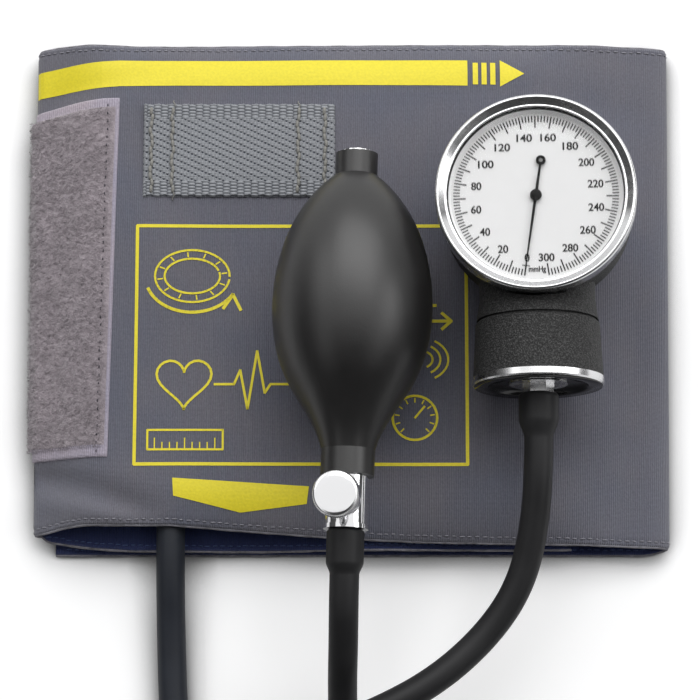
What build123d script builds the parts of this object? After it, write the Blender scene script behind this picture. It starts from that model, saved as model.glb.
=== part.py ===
from build123d import *
from math import acos, atan2, cos, degrees, pi, radians, sin, sqrt, tan
import os

os.makedirs("parts", exist_ok=True)

# Frame: +X right and +Y up across the dial, +Z up off the table, origin under the middle of the cuff.
# All sizes are in millimetres.

# Cuff, rolled flat: one and a half turns of a two-layer strip
cuff_width = 143.0
panel_wall = 0.9
lining_wall = 0.8
pad_thickness = 1.2
cuff_left = -88.05
cuff_right = 89.0
cuff_top = 17.0
strip_end = -84.0
inner_end = 62.0
opening_height = 4.4
right_fold_height = 9.4
crown_end = 30.0
shoulder_x = 56.0
shoulder_drop = 1.05
foot_x = 78.0
fold_radius = 2.5
brow_x = -66.0
brow_radius = 14.0
hem_drop = 2.6
hem_width = 12.0

# Bladder in the top layer
bladder_length = 104.0
bladder_width = 119.6
bladder_left = -59.8
bladder_wall = 1.3
bladder_play = 0.1
port_x = -49.6
port_z = 10.1
port_radius = 2.4
port_length = 9.0
port_root = 1.5
slot_play = 0.15

# Fastening pads and the webbing tab
loop_pad_front = -49.0
loop_pad_back = 55.8
loop_pad_top_end = -64.0
loop_pad_under_end = -50.0
hook_pad_end = -52.0
hook_pad_width = 98.0
tab_left = -57.4
tab_length = 53.6
tab_front = 26.2
tab_width = 27.0
tab_thickness = 1.4

# Hoses
hose_radius = 4.0
hose_floor = 4.1
connector_z = 4.8

# Bulb, lying along +Y and turned a little to the right
bulb_x = 1.1
bulb_y = -8.3
bulb_z = 39.1
bulb_turn = 1.7
bulb_radius = 21.9
bulb_wall = 2.6
lower_neck_radius = 7.3
lower_neck_end = -48.6
upper_neck_radius = 5.85
upper_neck_end = 41.2
upper_neck_length = 6.2
belly_start = -41.5
bulb_length = upper_neck_end - lower_neck_end
bulb_belly = [(0.45, -0.39), (0.8, -0.248), (1.0, -0.011), (0.925, 0.129), (0.76, 0.241), (0.53, 0.327)]
inlet_bore = 3.6
outlet_bore = 4.2

# Inlet valve in the upper neck
inlet_length = 14.0
inlet_flange_radius = 4.3
inlet_flange = 0.7
inlet_chamber_radius = 2.3
inlet_chamber_length = 6.0
inlet_hole = 1.1
inlet_ball_radius = 1.9
inlet_ball_travel = 1.0
retainer_thickness = 1.4

# Release valve under the lower neck
barrel_radius = 5.8
barrel_length = 14.5
spigot_length = 9.0
flange_height = 1.2
flange_radius = 6.1
passage_radius = 1.6
check_radius = 2.9
check_thickness = 0.8
check_depth = 3.0
check_play = 0.3
barb_radius = 3.1
barb_waist = 2.5
barb_length = 9.0
boss_y = 7.2
boss_tilt = 10.0
boss_radius = 4.6
boss_height = 9.5
boss_bore = 2.5
seat_radius = 1.25
seat_height = 3.0
stem_radius = 1.7
thread_fit = 0.06
seal_fit = 0.04
bonnet_radius = 5.0
bonnet_height = 2.1
bonnet_bevel = 0.4
knob_radius = 6.2
knob_thickness = 4.7
knob_gap = 1.3
knob_bevel = 0.5
knob_collar = 1.6
knurl_sink = 0.02
knurls = 36
vent_radius = 0.7

# Gauge, lying on the cuff with its dial up and rolled a little to the left
dial_x = 50.8
dial_y = 18.3
dial_z = 50.0
dial_roll = 5.0
case_radius = 26.3
case_wall = 1.7
case_depth = 28.0
case_round = 10.0
bezel_radius = case_radius + 0.95
bezel_front = 5.2
bezel_back = -2.0
aperture_radius = case_radius - 2.3
rim_width = 1.5
lens_bottom = 2.2
lens_thickness = 1.0
lip_thickness = 0.4
dial_radius = case_radius - 2.0
dial_thickness = 0.5
neck_offset = -0.3
neck_depth = 15.8
neck_top_radius = 15.9
neck_seam_radius = 16.7
neck_start = case_radius - 22.3
neck_start_radius = 11.0
neck_mouth = case_radius - 12.3
neck_shoulder = case_radius - 8.3
neck_straight = 8.0
sleeve_seam_radius = 17.0
sleeve_base_radius = 17.85
seam_y = case_radius + 5.3
ring_y = case_radius + 21.2
base_y = ring_y + 2.3
ring_radius = 18.0
base_thickness = 2.4
washer_radius = 8.0
washer_thickness = 0.8
nut_radius = 4.3
nut_length = 2.4
nipple_bore = 1.3
nipple_barb = 3.6
nipple_waist = 3.1

# Movement
pinion_teeth = 10
sector_teeth = 80
gear_module = 0.35
scale_sweep = 343.0
zero_angle = 8.5
arm_radius = 3.2
contact_gap = 0.12
plate_width = 20.0
plate_front = -21.0
plate_back = 5.6
plate_wall = 1.0
bottom_plate_z = -12.2
top_plate_z = -5.0
sector_z = -9.5
sector_wall = 1.2
arbor_radius = 0.5
shaft_radius = 0.8
pivot_fit = 0.06
pillar_radius = 1.3
pillar_x = 7.8
pillar_upper_y = 3.0
pillar_lower_y = -18.8
pin_radius = 0.6
capsule_radius = 12.4
capsule_discs = 3
disc_height = 4.6
disc_gap = 1.4
pointer_length = dial_radius - 1.9
pointer_tail = 9.8
pointer_z = 0.7
pointer_wall = 0.35
hub_radius = 1.6
spring_turns = 4
spring_start = 1.0
spring_pitch = 0.75
spring_band = 0.16
spring_height = 0.5

# Clip on the back of the gauge
clip_width = 14.0
clip_wall = 1.0
clip_gap = 3.9
clip_top = 19.0
clip_foot = 10.0
clip_bottom = -6.0


def outline(plane, *points):
    """Return the face inside straight lines drawn on a plane."""
    with BuildSketch(plane) as sketch:
        with BuildLine():
            Polyline(*points, close=True)
        make_face()
    return sketch.sketch.faces()


def turn(plane, *points, mode=Mode.ADD):
    """Turn an outline about its plane's own Y axis, as on a lathe."""
    revolve(outline(plane, *points), axis=Axis(plane.origin, plane.y_dir), mode=mode)


def rod(plane, radius, start, end, mode=Mode.ADD):
    """Add or cut a round rod along a plane's Y axis."""
    turn(plane, (0, start), (radius, start), (radius, end), (0, end), mode=mode)


def ring(plane, inner, outer, start, end, mode=Mode.ADD):
    """Add a plain ring about a plane's Y axis."""
    turn(plane, (inner, start), (outer, start), (outer, end), (inner, end), mode=mode)


def save(piece, name):
    """Label a finished piece and write it to its own file."""
    piece.part.label = name
    export_step(piece.part, f"parts/{name}.step")


# Heights of the layers, from the table up
hook_bottom = panel_wall + lining_wall
loop_bottom = hook_bottom + pad_thickness
under_bottom = loop_bottom + pad_thickness
under_top = under_bottom + panel_wall + lining_wall
top_lining_bottom = under_top + opening_height
top_lining_top = top_lining_bottom + lining_wall
fold_x = cuff_left + fold_radius
fold_z = under_bottom + fold_radius
brow_z = cuff_top - brow_radius
brow_run = sqrt((brow_x - fold_x) ** 2 + (brow_z - fold_z) ** 2)
brow_angle = atan2(brow_z - fold_z, brow_x - fold_x) + acos((fold_radius - brow_radius) / brow_run)
turn_radius = right_fold_height / 2
turn_x = cuff_right - turn_radius
slope_left = fold_x + 15.5
slope_right = foot_x - 16.0
shoulder_z = cuff_top - shoulder_drop


def round_place(x, z, radius, angle):
    """Return the point of a circle at an angle."""
    return (x + radius * cos(angle), z + radius * sin(angle))


def left_fold(outset):
    """Draw the low left fold and the slope from it up to the crown, at an outset from the fabric."""
    small = fold_radius + outset
    large = brow_radius + outset
    leave = round_place(fold_x, fold_z, small, brow_angle)
    join = round_place(brow_x, brow_z, large, brow_angle)
    ThreePointArc((fold_x, fold_z - small), (fold_x - small, fold_z), leave)
    Line(leave, join)
    between = round_place(brow_x, brow_z, large, (brow_angle + pi / 2) / 2)
    ThreePointArc(join, between, (brow_x, brow_z + large))


def strip_skin(inset):
    """Draw the strip's path from the inner end to the outer one, at an inset."""
    left = fold_radius - inset
    right = turn_radius - inset
    Polyline((inner_end, fold_z - left), (fold_x, fold_z - left))
    if inset == 0:
        left_fold(0)
        crown = [(brow_x, cuff_top), (crown_end, cuff_top), (shoulder_x, shoulder_z)]
    else:
        ThreePointArc((fold_x, fold_z - left), (fold_x - left, fold_z), (fold_x, fold_z + left))
        level = top_lining_top + panel_wall - inset
        crown = [(fold_x, fold_z + left), (slope_left, level), (slope_right, level)]
    Polyline(*crown, (foot_x, turn_radius + right), (turn_x, turn_radius + right))
    top = (turn_x, turn_radius + right)
    ThreePointArc(top, (turn_x + right, turn_radius), (turn_x, turn_radius - right))
    Line((turn_x, turn_radius - right), (strip_end, turn_radius - right))


def strip_face(outer, inner):
    """Return the strip's section between two insets, drawn across the roll."""
    with BuildSketch(Plane.XZ) as sketch:
        with BuildLine() as edge:
            strip_skin(outer)
            strip_skin(inner)
            Line((strip_end, outer), (strip_end, inner))
            Line((inner_end, under_bottom + outer), (inner_end, under_bottom + inner))
        make_face(edge.line.edges())
    return sketch.sketch.faces()


hose_entry = Plane(origin=(port_x, -cuff_width / 2, port_z), x_dir=(1, 0, 0), z_dir=(0, 0, 1))
port_y = -bladder_width / 2
port_plane = Plane(origin=(port_x, port_y, port_z), x_dir=(-1, 0, 0), z_dir=(0, 0, 1))
slot_radius = hose_radius + slot_play
slot_depth = cuff_width / 2 + port_y + port_root + slot_play

with BuildPart() as cuff_outer_panel:
    extrude(strip_face(0, panel_wall), amount=cuff_width / 2, both=True)
    for side in (-1, 1):
        edge = side * cuff_width / 2
        wedge = outline(
            Plane.YZ,
            (edge - side * hem_width, cuff_top),
            (edge, cuff_top - hem_drop),
            (edge + side, cuff_top - hem_drop),
            (edge + side, cuff_top + 1),
            (edge - side * hem_width, cuff_top + 1),
        )
        extrude(wedge, amount=2 * cuff_width, both=True, mode=Mode.SUBTRACT)
    pocket = outline(
        Plane.XY.offset(top_lining_top),
        (bladder_left - bladder_play, -bladder_width / 2 - bladder_play),
        (bladder_left + bladder_length + bladder_play, -bladder_width / 2 - bladder_play),
        (bladder_left + bladder_length + bladder_play, bladder_width / 2 + bladder_play),
        (bladder_left - bladder_play, bladder_width / 2 + bladder_play),
    )
    extrude(pocket, amount=cuff_top - panel_wall - top_lining_top, mode=Mode.SUBTRACT)
    rod(hose_entry, slot_radius, -1, slot_depth, mode=Mode.SUBTRACT)
save(cuff_outer_panel, "cuff_outer_panel")

with BuildPart() as cuff_lining:
    extrude(strip_face(panel_wall, panel_wall + lining_wall), amount=cuff_width / 2, both=True)
    rod(hose_entry, slot_radius, -1, slot_depth, mode=Mode.SUBTRACT)
save(cuff_lining, "cuff_lining")

bladder_top = cuff_top - panel_wall - bladder_play
bladder_middle = bladder_left + bladder_length / 2
with BuildPart() as bladder:
    with BuildSketch(Plane.XY.offset(top_lining_top)):
        with Locations((bladder_middle, 0)):
            RectangleRounded(bladder_length, bladder_width, 12)
    extrude(amount=bladder_top - top_lining_top)
    with BuildSketch(Plane.XY.offset(top_lining_top + bladder_wall)):
        with Locations((bladder_middle, 0)):
            inside = 2 * (bladder_wall + 4)
            RectangleRounded(bladder_length - inside, bladder_width - inside, 8)
    extrude(amount=bladder_top - top_lining_top - 2 * bladder_wall, mode=Mode.SUBTRACT)
    rod(port_plane, port_radius, -port_root, port_length)
save(bladder, "bladder")

with BuildPart() as loop_pad:
    with BuildSketch(Plane.XZ.offset(-loop_pad_back)):
        with BuildLine():
            Polyline(
                (fold_x, loop_bottom),
                (loop_pad_under_end, loop_bottom),
                (loop_pad_under_end, under_bottom),
                (fold_x, under_bottom),
            )
            left_fold(0)
            left_fold(pad_thickness)
            Polyline(
                (brow_x, cuff_top),
                (loop_pad_top_end, cuff_top),
                (loop_pad_top_end, cuff_top + pad_thickness),
                (brow_x, cuff_top + pad_thickness),
            )
        make_face()
    extrude(amount=loop_pad_back - loop_pad_front)
save(loop_pad, "loop_pad")

with BuildPart() as hook_pad:
    with BuildSketch(Plane.XY.offset(hook_bottom)):
        with Locations(((strip_end + hook_pad_end) / 2, 0)):
            RectangleRounded(hook_pad_end - strip_end, hook_pad_width, 2)
    extrude(amount=pad_thickness)
save(hook_pad, "hook_pad")

with BuildPart() as webbing_tab:
    with BuildSketch(Plane.XY.offset(cuff_top)):
        with Locations((tab_left + tab_length / 2, tab_front + tab_width / 2)):
            Rectangle(tab_length, tab_width)
    extrude(amount=tab_thickness)
    fillet(webbing_tab.edges().filter_by(Axis.Y).group_by(Axis.Z)[-1], radius=tab_thickness / 3)
save(webbing_tab, "webbing_tab")

# The bulb's frame: its plane's Y axis runs along the bulb, from the release valve to the inlet valve
turn_angle = radians(bulb_turn)
bulb_x_dir = Vector(cos(turn_angle), -sin(turn_angle), 0)
bulb_axis = Vector(sin(turn_angle), cos(turn_angle), 0)
bulb_plane = Plane(origin=(bulb_x, bulb_y, bulb_z), x_dir=bulb_x_dir, z_dir=(0, 0, 1))


def bulb_wall_curve(inset, neck, mouth):
    """Draw the bulb's wall from the lower neck to the upper one, at an inset from the outside."""
    belly = [(share * bulb_radius - inset, place * bulb_length) for share, place in bulb_belly]
    start = (neck, belly_start)
    end = (mouth, upper_neck_end - upper_neck_length)
    Line((neck, lower_neck_end), start)
    Spline(start, *belly, end)
    Line(end, (mouth, upper_neck_end))


with BuildPart() as bulb:
    with BuildSketch(bulb_plane):
        with BuildLine():
            bulb_wall_curve(0, lower_neck_radius, upper_neck_radius)
            bulb_wall_curve(bulb_wall, outlet_bore, inlet_bore)
            Line((lower_neck_radius, lower_neck_end), (outlet_bore, lower_neck_end))
            Line((upper_neck_radius, upper_neck_end), (inlet_bore, upper_neck_end))
        make_face()
    revolve(axis=Axis(bulb_plane.origin, bulb_plane.y_dir))
save(bulb, "bulb")

# Inlet valve: a ball in a chamber that lets air in and not out
inlet_top = upper_neck_end + inlet_flange
chamber_top = upper_neck_end - 2.0
chamber_bottom = chamber_top - inlet_chamber_length
inlet_bottom = upper_neck_end - inlet_length
retainer_bottom = chamber_bottom - retainer_thickness
ball_y = chamber_top - inlet_ball_radius - inlet_ball_travel
with BuildPart() as inlet_valve_body:
    turn(
        bulb_plane,
        (inlet_hole, inlet_top),
        (inlet_flange_radius, inlet_top),
        (inlet_flange_radius, upper_neck_end),
        (inlet_bore, upper_neck_end),
        (inlet_bore, inlet_bottom),
        (inlet_chamber_radius, inlet_bottom),
        (inlet_chamber_radius, chamber_top - 1.2),
        (inlet_hole, chamber_top),
    )
save(inlet_valve_body, "inlet_valve_body")

with BuildPart() as inlet_valve_retainer:
    rod(bulb_plane, inlet_chamber_radius, retainer_bottom, chamber_bottom)
    with BuildSketch(Plane(bulb_plane.from_local_coords((0, retainer_bottom, 0)), bulb_x_dir, bulb_axis)):
        with PolarLocations(inlet_chamber_radius * 0.55, 4):
            Circle(0.45)
    extrude(amount=retainer_thickness, mode=Mode.SUBTRACT)
save(inlet_valve_retainer, "inlet_valve_retainer")

with BuildPart() as inlet_valve_ball:
    with Locations(bulb_plane.from_local_coords((0, ball_y, 0))):
        Sphere(inlet_ball_radius)
save(inlet_valve_ball, "inlet_valve_ball")

# Release valve: a barrel on the bulb's axis with a needle boss that points up and a little to the left
barrel_end = lower_neck_end - barrel_length
boss_origin = bulb_plane.from_local_coords((0, lower_neck_end - boss_y, 0))
tilt = radians(boss_tilt)
boss_axis = Vector(0, 0, 1) * cos(tilt) - bulb_x_dir * sin(tilt)
boss_x_dir = bulb_x_dir * cos(tilt) + Vector(0, 0, 1) * sin(tilt)
boss_plane = Plane(origin=boss_origin, x_dir=boss_x_dir, z_dir=-bulb_axis)
boss_base = Plane(origin=boss_origin, x_dir=boss_x_dir, z_dir=boss_axis)
check_top = lower_neck_end - 1.4
check_bottom = check_top - check_depth
barb_end = barrel_end - barb_length


def barb(plane, root, length, waist, crest, ridges=3):
    """Add a hose barb whose ridges lean back towards its root, along a plane's Y axis."""
    direction = -1 if length < 0 else 1
    step = (abs(length) - 1.0) / ridges * direction
    points = [(0, root), (waist, root), (waist, root + direction)]
    for ridge in range(ridges):
        start = root + direction + ridge * step
        points += [(crest, start + 0.05 * step), (waist, start + 0.95 * step)]
    turn(plane, *points, (0, root + length))


with BuildPart() as release_valve_body:
    turn(
        bulb_plane,
        (0, barrel_end),
        (flange_radius, barrel_end),
        (flange_radius, barrel_end + flange_height),
        (barrel_radius, barrel_end + flange_height),
        (barrel_radius, lower_neck_end),
        (outlet_bore, lower_neck_end),
        (outlet_bore, lower_neck_end + spigot_length),
        (0, lower_neck_end + spigot_length),
    )
    barb(bulb_plane, barrel_end, -barb_length, barb_waist, barb_radius)
    rod(boss_plane, boss_radius, 0, boss_height)
    rod(bulb_plane, passage_radius, barb_end, lower_neck_end + spigot_length, mode=Mode.SUBTRACT)
    check_bore = check_radius + check_play
    rod(bulb_plane, check_bore, check_bottom, check_top, mode=Mode.SUBTRACT)
    rod(boss_plane, seat_radius, 0, seat_height, mode=Mode.SUBTRACT)
    rod(boss_plane, boss_bore, seat_height, boss_height, mode=Mode.SUBTRACT)
    vent_y = seat_height + 1.2
    with BuildSketch(Plane(boss_plane.from_local_coords((0, vent_y, 0)), boss_axis, -bulb_x_dir)):
        Circle(vent_radius)
    extrude(amount=boss_radius + 1, mode=Mode.SUBTRACT)
save(release_valve_body, "release_valve_body")

with BuildPart() as outlet_check_disc:
    rod(bulb_plane, check_radius, check_top - check_thickness, check_top)
    with BuildSketch(Plane(bulb_plane.from_local_coords((0, check_bottom, 0)), bulb_x_dir, bulb_axis)):
        with PolarLocations(check_radius, 3):
            Circle(0.7)
    extrude(amount=check_depth, mode=Mode.SUBTRACT)
save(outlet_check_disc, "outlet_check_disc")

bonnet_top = boss_height + bonnet_height
knob_bottom = bonnet_top + knob_gap
knob_top = knob_bottom + knob_thickness
thread_bottom = seat_height + 1.2
thread_top = seat_height + 3.6
seal_bottom = thread_top + 0.6
seal_thickness = 1.1
with BuildPart() as release_stem:
    turn(
        boss_plane,
        (0, seat_height - 0.6),
        (0.8, seat_height - 0.6),
        (seat_radius - thread_fit, seat_height - thread_fit),
        (stem_radius, seat_height + 0.9),
        (stem_radius, thread_bottom),
        (boss_bore - thread_fit, thread_bottom),
        (boss_bore - thread_fit, thread_top),
        (stem_radius, thread_top),
        (stem_radius, knob_top - 1.0),
        (0, knob_top - 1.0),
    )
save(release_stem, "release_stem")

with BuildPart() as stem_seal_ring:
    seal_top = seal_bottom + seal_thickness
    ring(boss_plane, stem_radius + seal_fit, boss_bore - thread_fit, seal_bottom, seal_top)
save(stem_seal_ring, "stem_seal_ring")

with BuildPart() as stem_bonnet:
    turn(
        boss_plane,
        (stem_radius + thread_fit, boss_height),
        (bonnet_radius, boss_height),
        (bonnet_radius, bonnet_top - bonnet_bevel),
        (bonnet_radius - bonnet_bevel, bonnet_top),
        (stem_radius + thread_fit, bonnet_top),
    )
save(stem_bonnet, "stem_bonnet")

collar_bottom = bonnet_top + knob_bevel
with BuildPart() as release_knob:
    turn(
        boss_plane,
        (stem_radius, collar_bottom),
        (stem_radius + knob_collar, collar_bottom),
        (stem_radius + knob_collar, knob_bottom),
        (knob_radius - knob_bevel, knob_bottom),
        (knob_radius, knob_bottom + knob_bevel),
        (knob_radius, knob_top - knob_bevel),
        (knob_radius - knob_bevel, knob_top),
        (0, knob_top),
        (0, knob_top - 1.0),
        (stem_radius, knob_top - 1.0),
    )
    with BuildSketch(boss_base.offset(knob_bottom)):
        with PolarLocations(knob_radius + knurl_sink, knurls, start_angle=2.0):
            RegularPolygon(0.32, 4)
    extrude(amount=knob_thickness, mode=Mode.SUBTRACT)
save(release_knob, "release_knob")

# The gauge's frame: local X across the dial, Y up it, Z out of it, from the middle of the dial's face
roll = radians(dial_roll)
gauge = Plane(
    origin=(dial_x, dial_y, dial_z),
    x_dir=(cos(roll), 0, sin(roll)),
    z_dir=(-sin(roll), 0, cos(roll)),
)


def gauge_plane(x=0.0, y=0.0, z=0.0):
    """Return a plane parallel to the dial at a place in the gauge's frame."""
    return Plane(origin=gauge.from_local_coords((x, y, z)), x_dir=gauge.x_dir, z_dir=gauge.z_dir)


def gauge_section(x=0.0, y=0.0):
    """Return a plane whose Y axis points out of the dial, for turned pieces."""
    return Plane(origin=gauge.from_local_coords((x, y, 0)), x_dir=gauge.x_dir, z_dir=-gauge.y_dir)


dial_section = gauge_section()
neck_origin = gauge.from_local_coords((neck_offset, 0, -neck_depth))
neck_section = Plane(origin=neck_origin, x_dir=gauge.x_dir, z_dir=-gauge.z_dir)
neck_base = Plane(origin=neck_origin, x_dir=gauge.x_dir, z_dir=-gauge.y_dir)

# The movement's geometry, all in the gauge's frame
centre_distance = gear_module * (pinion_teeth + sector_teeth) / 2
shaft_x = neck_offset - arm_radius
shaft_y = -sqrt(centre_distance**2 - shaft_x**2)
mesh_angle = degrees(atan2(-shaft_y, -shaft_x))
sector_sweep = scale_sweep * pinion_teeth / sector_teeth
contact_drop = arm_radius * tan(radians(sector_sweep / 2))
pin_tip_y = shaft_y - contact_drop - contact_gap
capsule_height = capsule_discs * disc_height
capsule_base_y = -ring_y + base_thickness
capsule_top_y = capsule_base_y + capsule_height
print("sector turns", round(sector_sweep, 2), "degrees; pin tip at", round(pin_tip_y, 2))
print("pin travel", round(2 * contact_drop, 3), "mm; shaft at", round(shaft_x, 3), round(shaft_y, 3))

bezel_clearance = 0.4
bezel_fit = 0.02
dial_fit = 0.1
spigot_radius = case_radius - 0.9
spigot_top = lens_bottom
ledge_radius = dial_radius - 1.8
case_post_radius = pillar_radius + 0.7
case_back = -case_depth
case_shoulder = bezel_back - 0.1
inner_radius = case_radius - case_wall
with BuildPart() as gauge_case:
    with BuildSketch(dial_section):
        with BuildLine():
            Polyline(
                (0, case_back),
                (case_radius - case_round, case_back),
            )
            round_start = (case_radius - case_round, case_back)
            RadiusArc(round_start, (case_radius, case_back + case_round), -case_round)
            Polyline(
                (case_radius, case_back + case_round),
                (case_radius, case_shoulder),
                (spigot_radius, case_shoulder),
                (spigot_radius, spigot_top),
                (dial_radius + dial_fit, spigot_top),
                (dial_radius + dial_fit, -dial_thickness),
                (0, -dial_thickness),
                (0, case_back),
            )
        make_face()
    revolve(axis=Axis(dial_section.origin, dial_section.y_dir))
    turn(
        neck_section,
        (0, neck_start),
        (neck_start_radius, neck_start),
        (neck_top_radius, neck_shoulder),
        (neck_top_radius, neck_shoulder + neck_straight),
        (neck_seam_radius, seam_y),
        (0, seam_y),
    )
    rod(dial_section, dial_radius + dial_fit, -dial_thickness, spigot_top, mode=Mode.SUBTRACT)
    clear_radius = bezel_radius + bezel_clearance
    ring(dial_section, spigot_radius, clear_radius, case_shoulder, spigot_top, mode=Mode.SUBTRACT)
    cavity = [
        (0, case_back + case_wall),
        (inner_radius - case_round + 1, case_back + case_wall),
        (inner_radius - 3.0, case_back + case_wall + 2.6),
        (inner_radius, case_back + case_round),
        (inner_radius, -dial_thickness - 1.5),
        (ledge_radius, -dial_thickness),
        (0, -dial_thickness),
    ]
    turn(dial_section, *cavity, mode=Mode.SUBTRACT)
    neck_inside = neck_top_radius - case_wall
    rod(neck_section, neck_inside, neck_mouth, seam_y, mode=Mode.SUBTRACT)
    for x in (-pillar_x, pillar_x):
        upper = gauge_section(x, pillar_upper_y)
        rod(upper, case_post_radius, case_back + case_wall / 2, bottom_plate_z)
        lower = gauge_section(x, pillar_lower_y)
        rod(lower, case_post_radius, case_back - 0.9, bottom_plate_z)
    rod(neck_section, pin_radius + 2.0, neck_mouth, seam_y, mode=Mode.SUBTRACT)
save(gauge_case, "gauge_case")

sleeve_inner = sleeve_seam_radius - case_wall
with BuildPart() as neck_sleeve:
    turn(
        neck_section,
        (sleeve_inner, seam_y + 0.5),
        (sleeve_seam_radius - 0.5, seam_y + 0.5),
        (sleeve_seam_radius, seam_y + 1.0),
        (sleeve_base_radius, ring_y),
        (sleeve_inner, ring_y),
    )
    ring(neck_section, neck_inside - 0.2, neck_seam_radius - 0.6, seam_y, seam_y + 0.5)
    ring(neck_section, sleeve_inner - 1.0, sleeve_inner + 0.4, seam_y, seam_y + 2.5)
save(neck_sleeve, "neck_sleeve")

base_recess = 1.4
ring_bevel = 0.6
ring_mouth = sleeve_inner + 0.2
plate_step = sleeve_inner - 1.2
with BuildPart() as base_ring:
    turn(
        neck_section,
        (plate_step, ring_y),
        (ring_radius, ring_y),
        (ring_radius, base_y - ring_bevel),
        (ring_radius - ring_bevel, base_y),
        (ring_mouth, base_y),
        (ring_mouth, base_y - base_recess),
        (plate_step, base_y - base_recess),
    )
save(base_ring, "base_ring")

plate_outer = base_y - base_recess
with BuildPart() as base_plate:
    ring(neck_section, nipple_waist, sleeve_inner, ring_y - base_thickness, ring_y)
    ring(neck_section, nipple_waist, plate_step, ring_y, plate_outer)
save(base_plate, "base_plate")

gasket_width = 3.4
gasket_thickness = 0.8
plate_inner = ring_y - base_thickness
with BuildPart() as base_gasket:
    gasket_inner = sleeve_inner - gasket_width
    ring(neck_section, gasket_inner, sleeve_inner, plate_inner - gasket_thickness, plate_inner)
save(base_gasket, "base_gasket")

with BuildPart() as nipple_washer:
    ring(neck_section, nipple_waist, washer_radius, plate_outer, plate_outer + washer_thickness)
save(nipple_washer, "nipple_washer")

nut_bottom = plate_outer + washer_thickness
nut_top = nut_bottom + nut_length
with BuildPart() as hose_nipple:
    rod(neck_section, nipple_waist, ring_y - base_thickness, nut_bottom)
    with BuildSketch(neck_base.offset(nut_bottom)):
        RegularPolygon(nut_radius, 6)
    extrude(amount=nut_length)
    barb(neck_section, nut_top, barb_length, nipple_waist, nipple_barb)
    rod(neck_section, nipple_bore, ring_y - base_thickness, nut_top + barb_length, mode=Mode.SUBTRACT)
save(hose_nipple, "hose_nipple")

capsule_hub = 4.0
capsule_rim = 1.0
capsule_cap = 0.8
with BuildPart() as capsule:
    foot = -capsule_base_y
    disc_points = [(nipple_bore, foot)]
    for disc in range(capsule_discs):
        low = foot - disc * disc_height
        high = low - disc_height
        middle = (low + high) / 2
        disc_points += [
            (capsule_hub, low),
            (capsule_hub, low - disc_gap / 2),
            (capsule_radius, middle + capsule_rim / 2),
            (capsule_radius, middle - capsule_rim / 2),
            (capsule_hub, high + disc_gap / 2),
        ]
    inside = high + capsule_cap
    disc_points += [(capsule_hub, high), (0, high), (0, inside), (nipple_bore, inside)]
    turn(neck_section, *disc_points)
save(capsule, "capsule")

with BuildPart() as capsule_push_pin:
    turn(
        neck_section,
        (0, -capsule_top_y),
        (2.2, -capsule_top_y),
        (2.2, -capsule_top_y - 1.0),
        (pin_radius, -capsule_top_y - 1.6),
        (pin_radius, -pin_tip_y + pin_radius),
        (0, -pin_tip_y + pin_radius),
    )
    with Locations(neck_section.from_local_coords((0, -pin_tip_y + pin_radius, 0))):
        Sphere(pin_radius)
save(capsule_push_pin, "capsule_push_pin")

pillar_places = [(x, y) for x in (-pillar_x, pillar_x) for y in (pillar_lower_y, pillar_upper_y)]
pivots = [(0, 0, arbor_radius), (shaft_x, shaft_y, shaft_radius)]


def movement_plate(name, bottom):
    """Make one of the two plates that hold the movement's shafts."""
    with BuildPart() as plate:
        with BuildSketch(gauge_plane(z=bottom)):
            with Locations((0, (plate_front + plate_back) / 2)):
                RectangleRounded(plate_width, plate_back - plate_front, pillar_radius + 0.9)
            for x, y, radius in pivots:
                with Locations((x, y)):
                    Circle(radius + pivot_fit, mode=Mode.SUBTRACT)
        extrude(amount=plate_wall)
    save(plate, name)


movement_plate("movement_bottom_plate", bottom_plate_z)
movement_plate("movement_top_plate", top_plate_z)

pillar_bottom = bottom_plate_z + plate_wall
with BuildPart() as movement_pillars:
    for x, y in pillar_places:
        rod(gauge_section(x, y), pillar_radius, pillar_bottom, top_plate_z)
save(movement_pillars, "movement_pillars")

with BuildPart() as movement_screws:
    for x, y in pillar_places:
        head = top_plate_z + plate_wall
        turn(
            gauge_section(x, y),
            (0, head),
            (pillar_radius, head),
            (pillar_radius, head + 0.6),
            (0, head + 0.8),
        )
save(movement_screws, "movement_screws")

# Teeth: straight flanks with open gaps, so that they turn freely
pitch_radius = gear_module * sector_teeth / 2
pinion_radius = gear_module * pinion_teeth / 2
tooth_top = 0.9 * gear_module
tooth_foot = 1.25 * gear_module


def tooth(radius, angle, half_foot, half_top):
    """Return one tooth's corners for a wheel of a pitch radius, pointing at an angle in degrees."""
    turned = radians(angle)
    corners = [
        (radius - tooth_foot - 0.1, half_foot),
        (radius + tooth_top, half_top),
        (radius + tooth_top, -half_top),
        (radius - tooth_foot - 0.1, -half_foot),
    ]
    return [(r * cos(turned) - w * sin(turned), r * sin(turned) + w * cos(turned)) for r, w in corners]


tooth_step = 360 / sector_teeth
first_tooth = mesh_angle + tooth_step / 2
sector_tooth_count = int(sector_sweep / tooth_step) + 3
last_tooth = first_tooth - (sector_tooth_count - 1) * tooth_step
with BuildPart() as sector_gear:
    with BuildSketch(gauge_plane(shaft_x, shaft_y, sector_z)):
        Circle(pitch_radius - tooth_foot)
        with BuildLine():
            reach = 2 * pitch_radius
            high = radians(first_tooth + tooth_step / 2)
            low = radians(last_tooth - tooth_step / 2)
            Polyline(
                (0, 0),
                (reach * cos(low), reach * sin(low)),
                (reach * cos(high), reach * sin(high)),
                close=True,
            )
        make_face(mode=Mode.INTERSECT)
        Circle(shaft_radius + 1.6)
        for count in range(sector_tooth_count):
            with BuildLine():
                angle = first_tooth - count * tooth_step
                Polyline(*tooth(pitch_radius, angle, 0.24, 0.1), close=True)
            make_face()
        Circle(shaft_radius, mode=Mode.SUBTRACT)
        middle = radians((first_tooth + last_tooth) / 2)
        with Locations((8.2 * cos(middle), 8.2 * sin(middle))):
            Circle(2.2, mode=Mode.SUBTRACT)
    extrude(amount=sector_wall)
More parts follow.
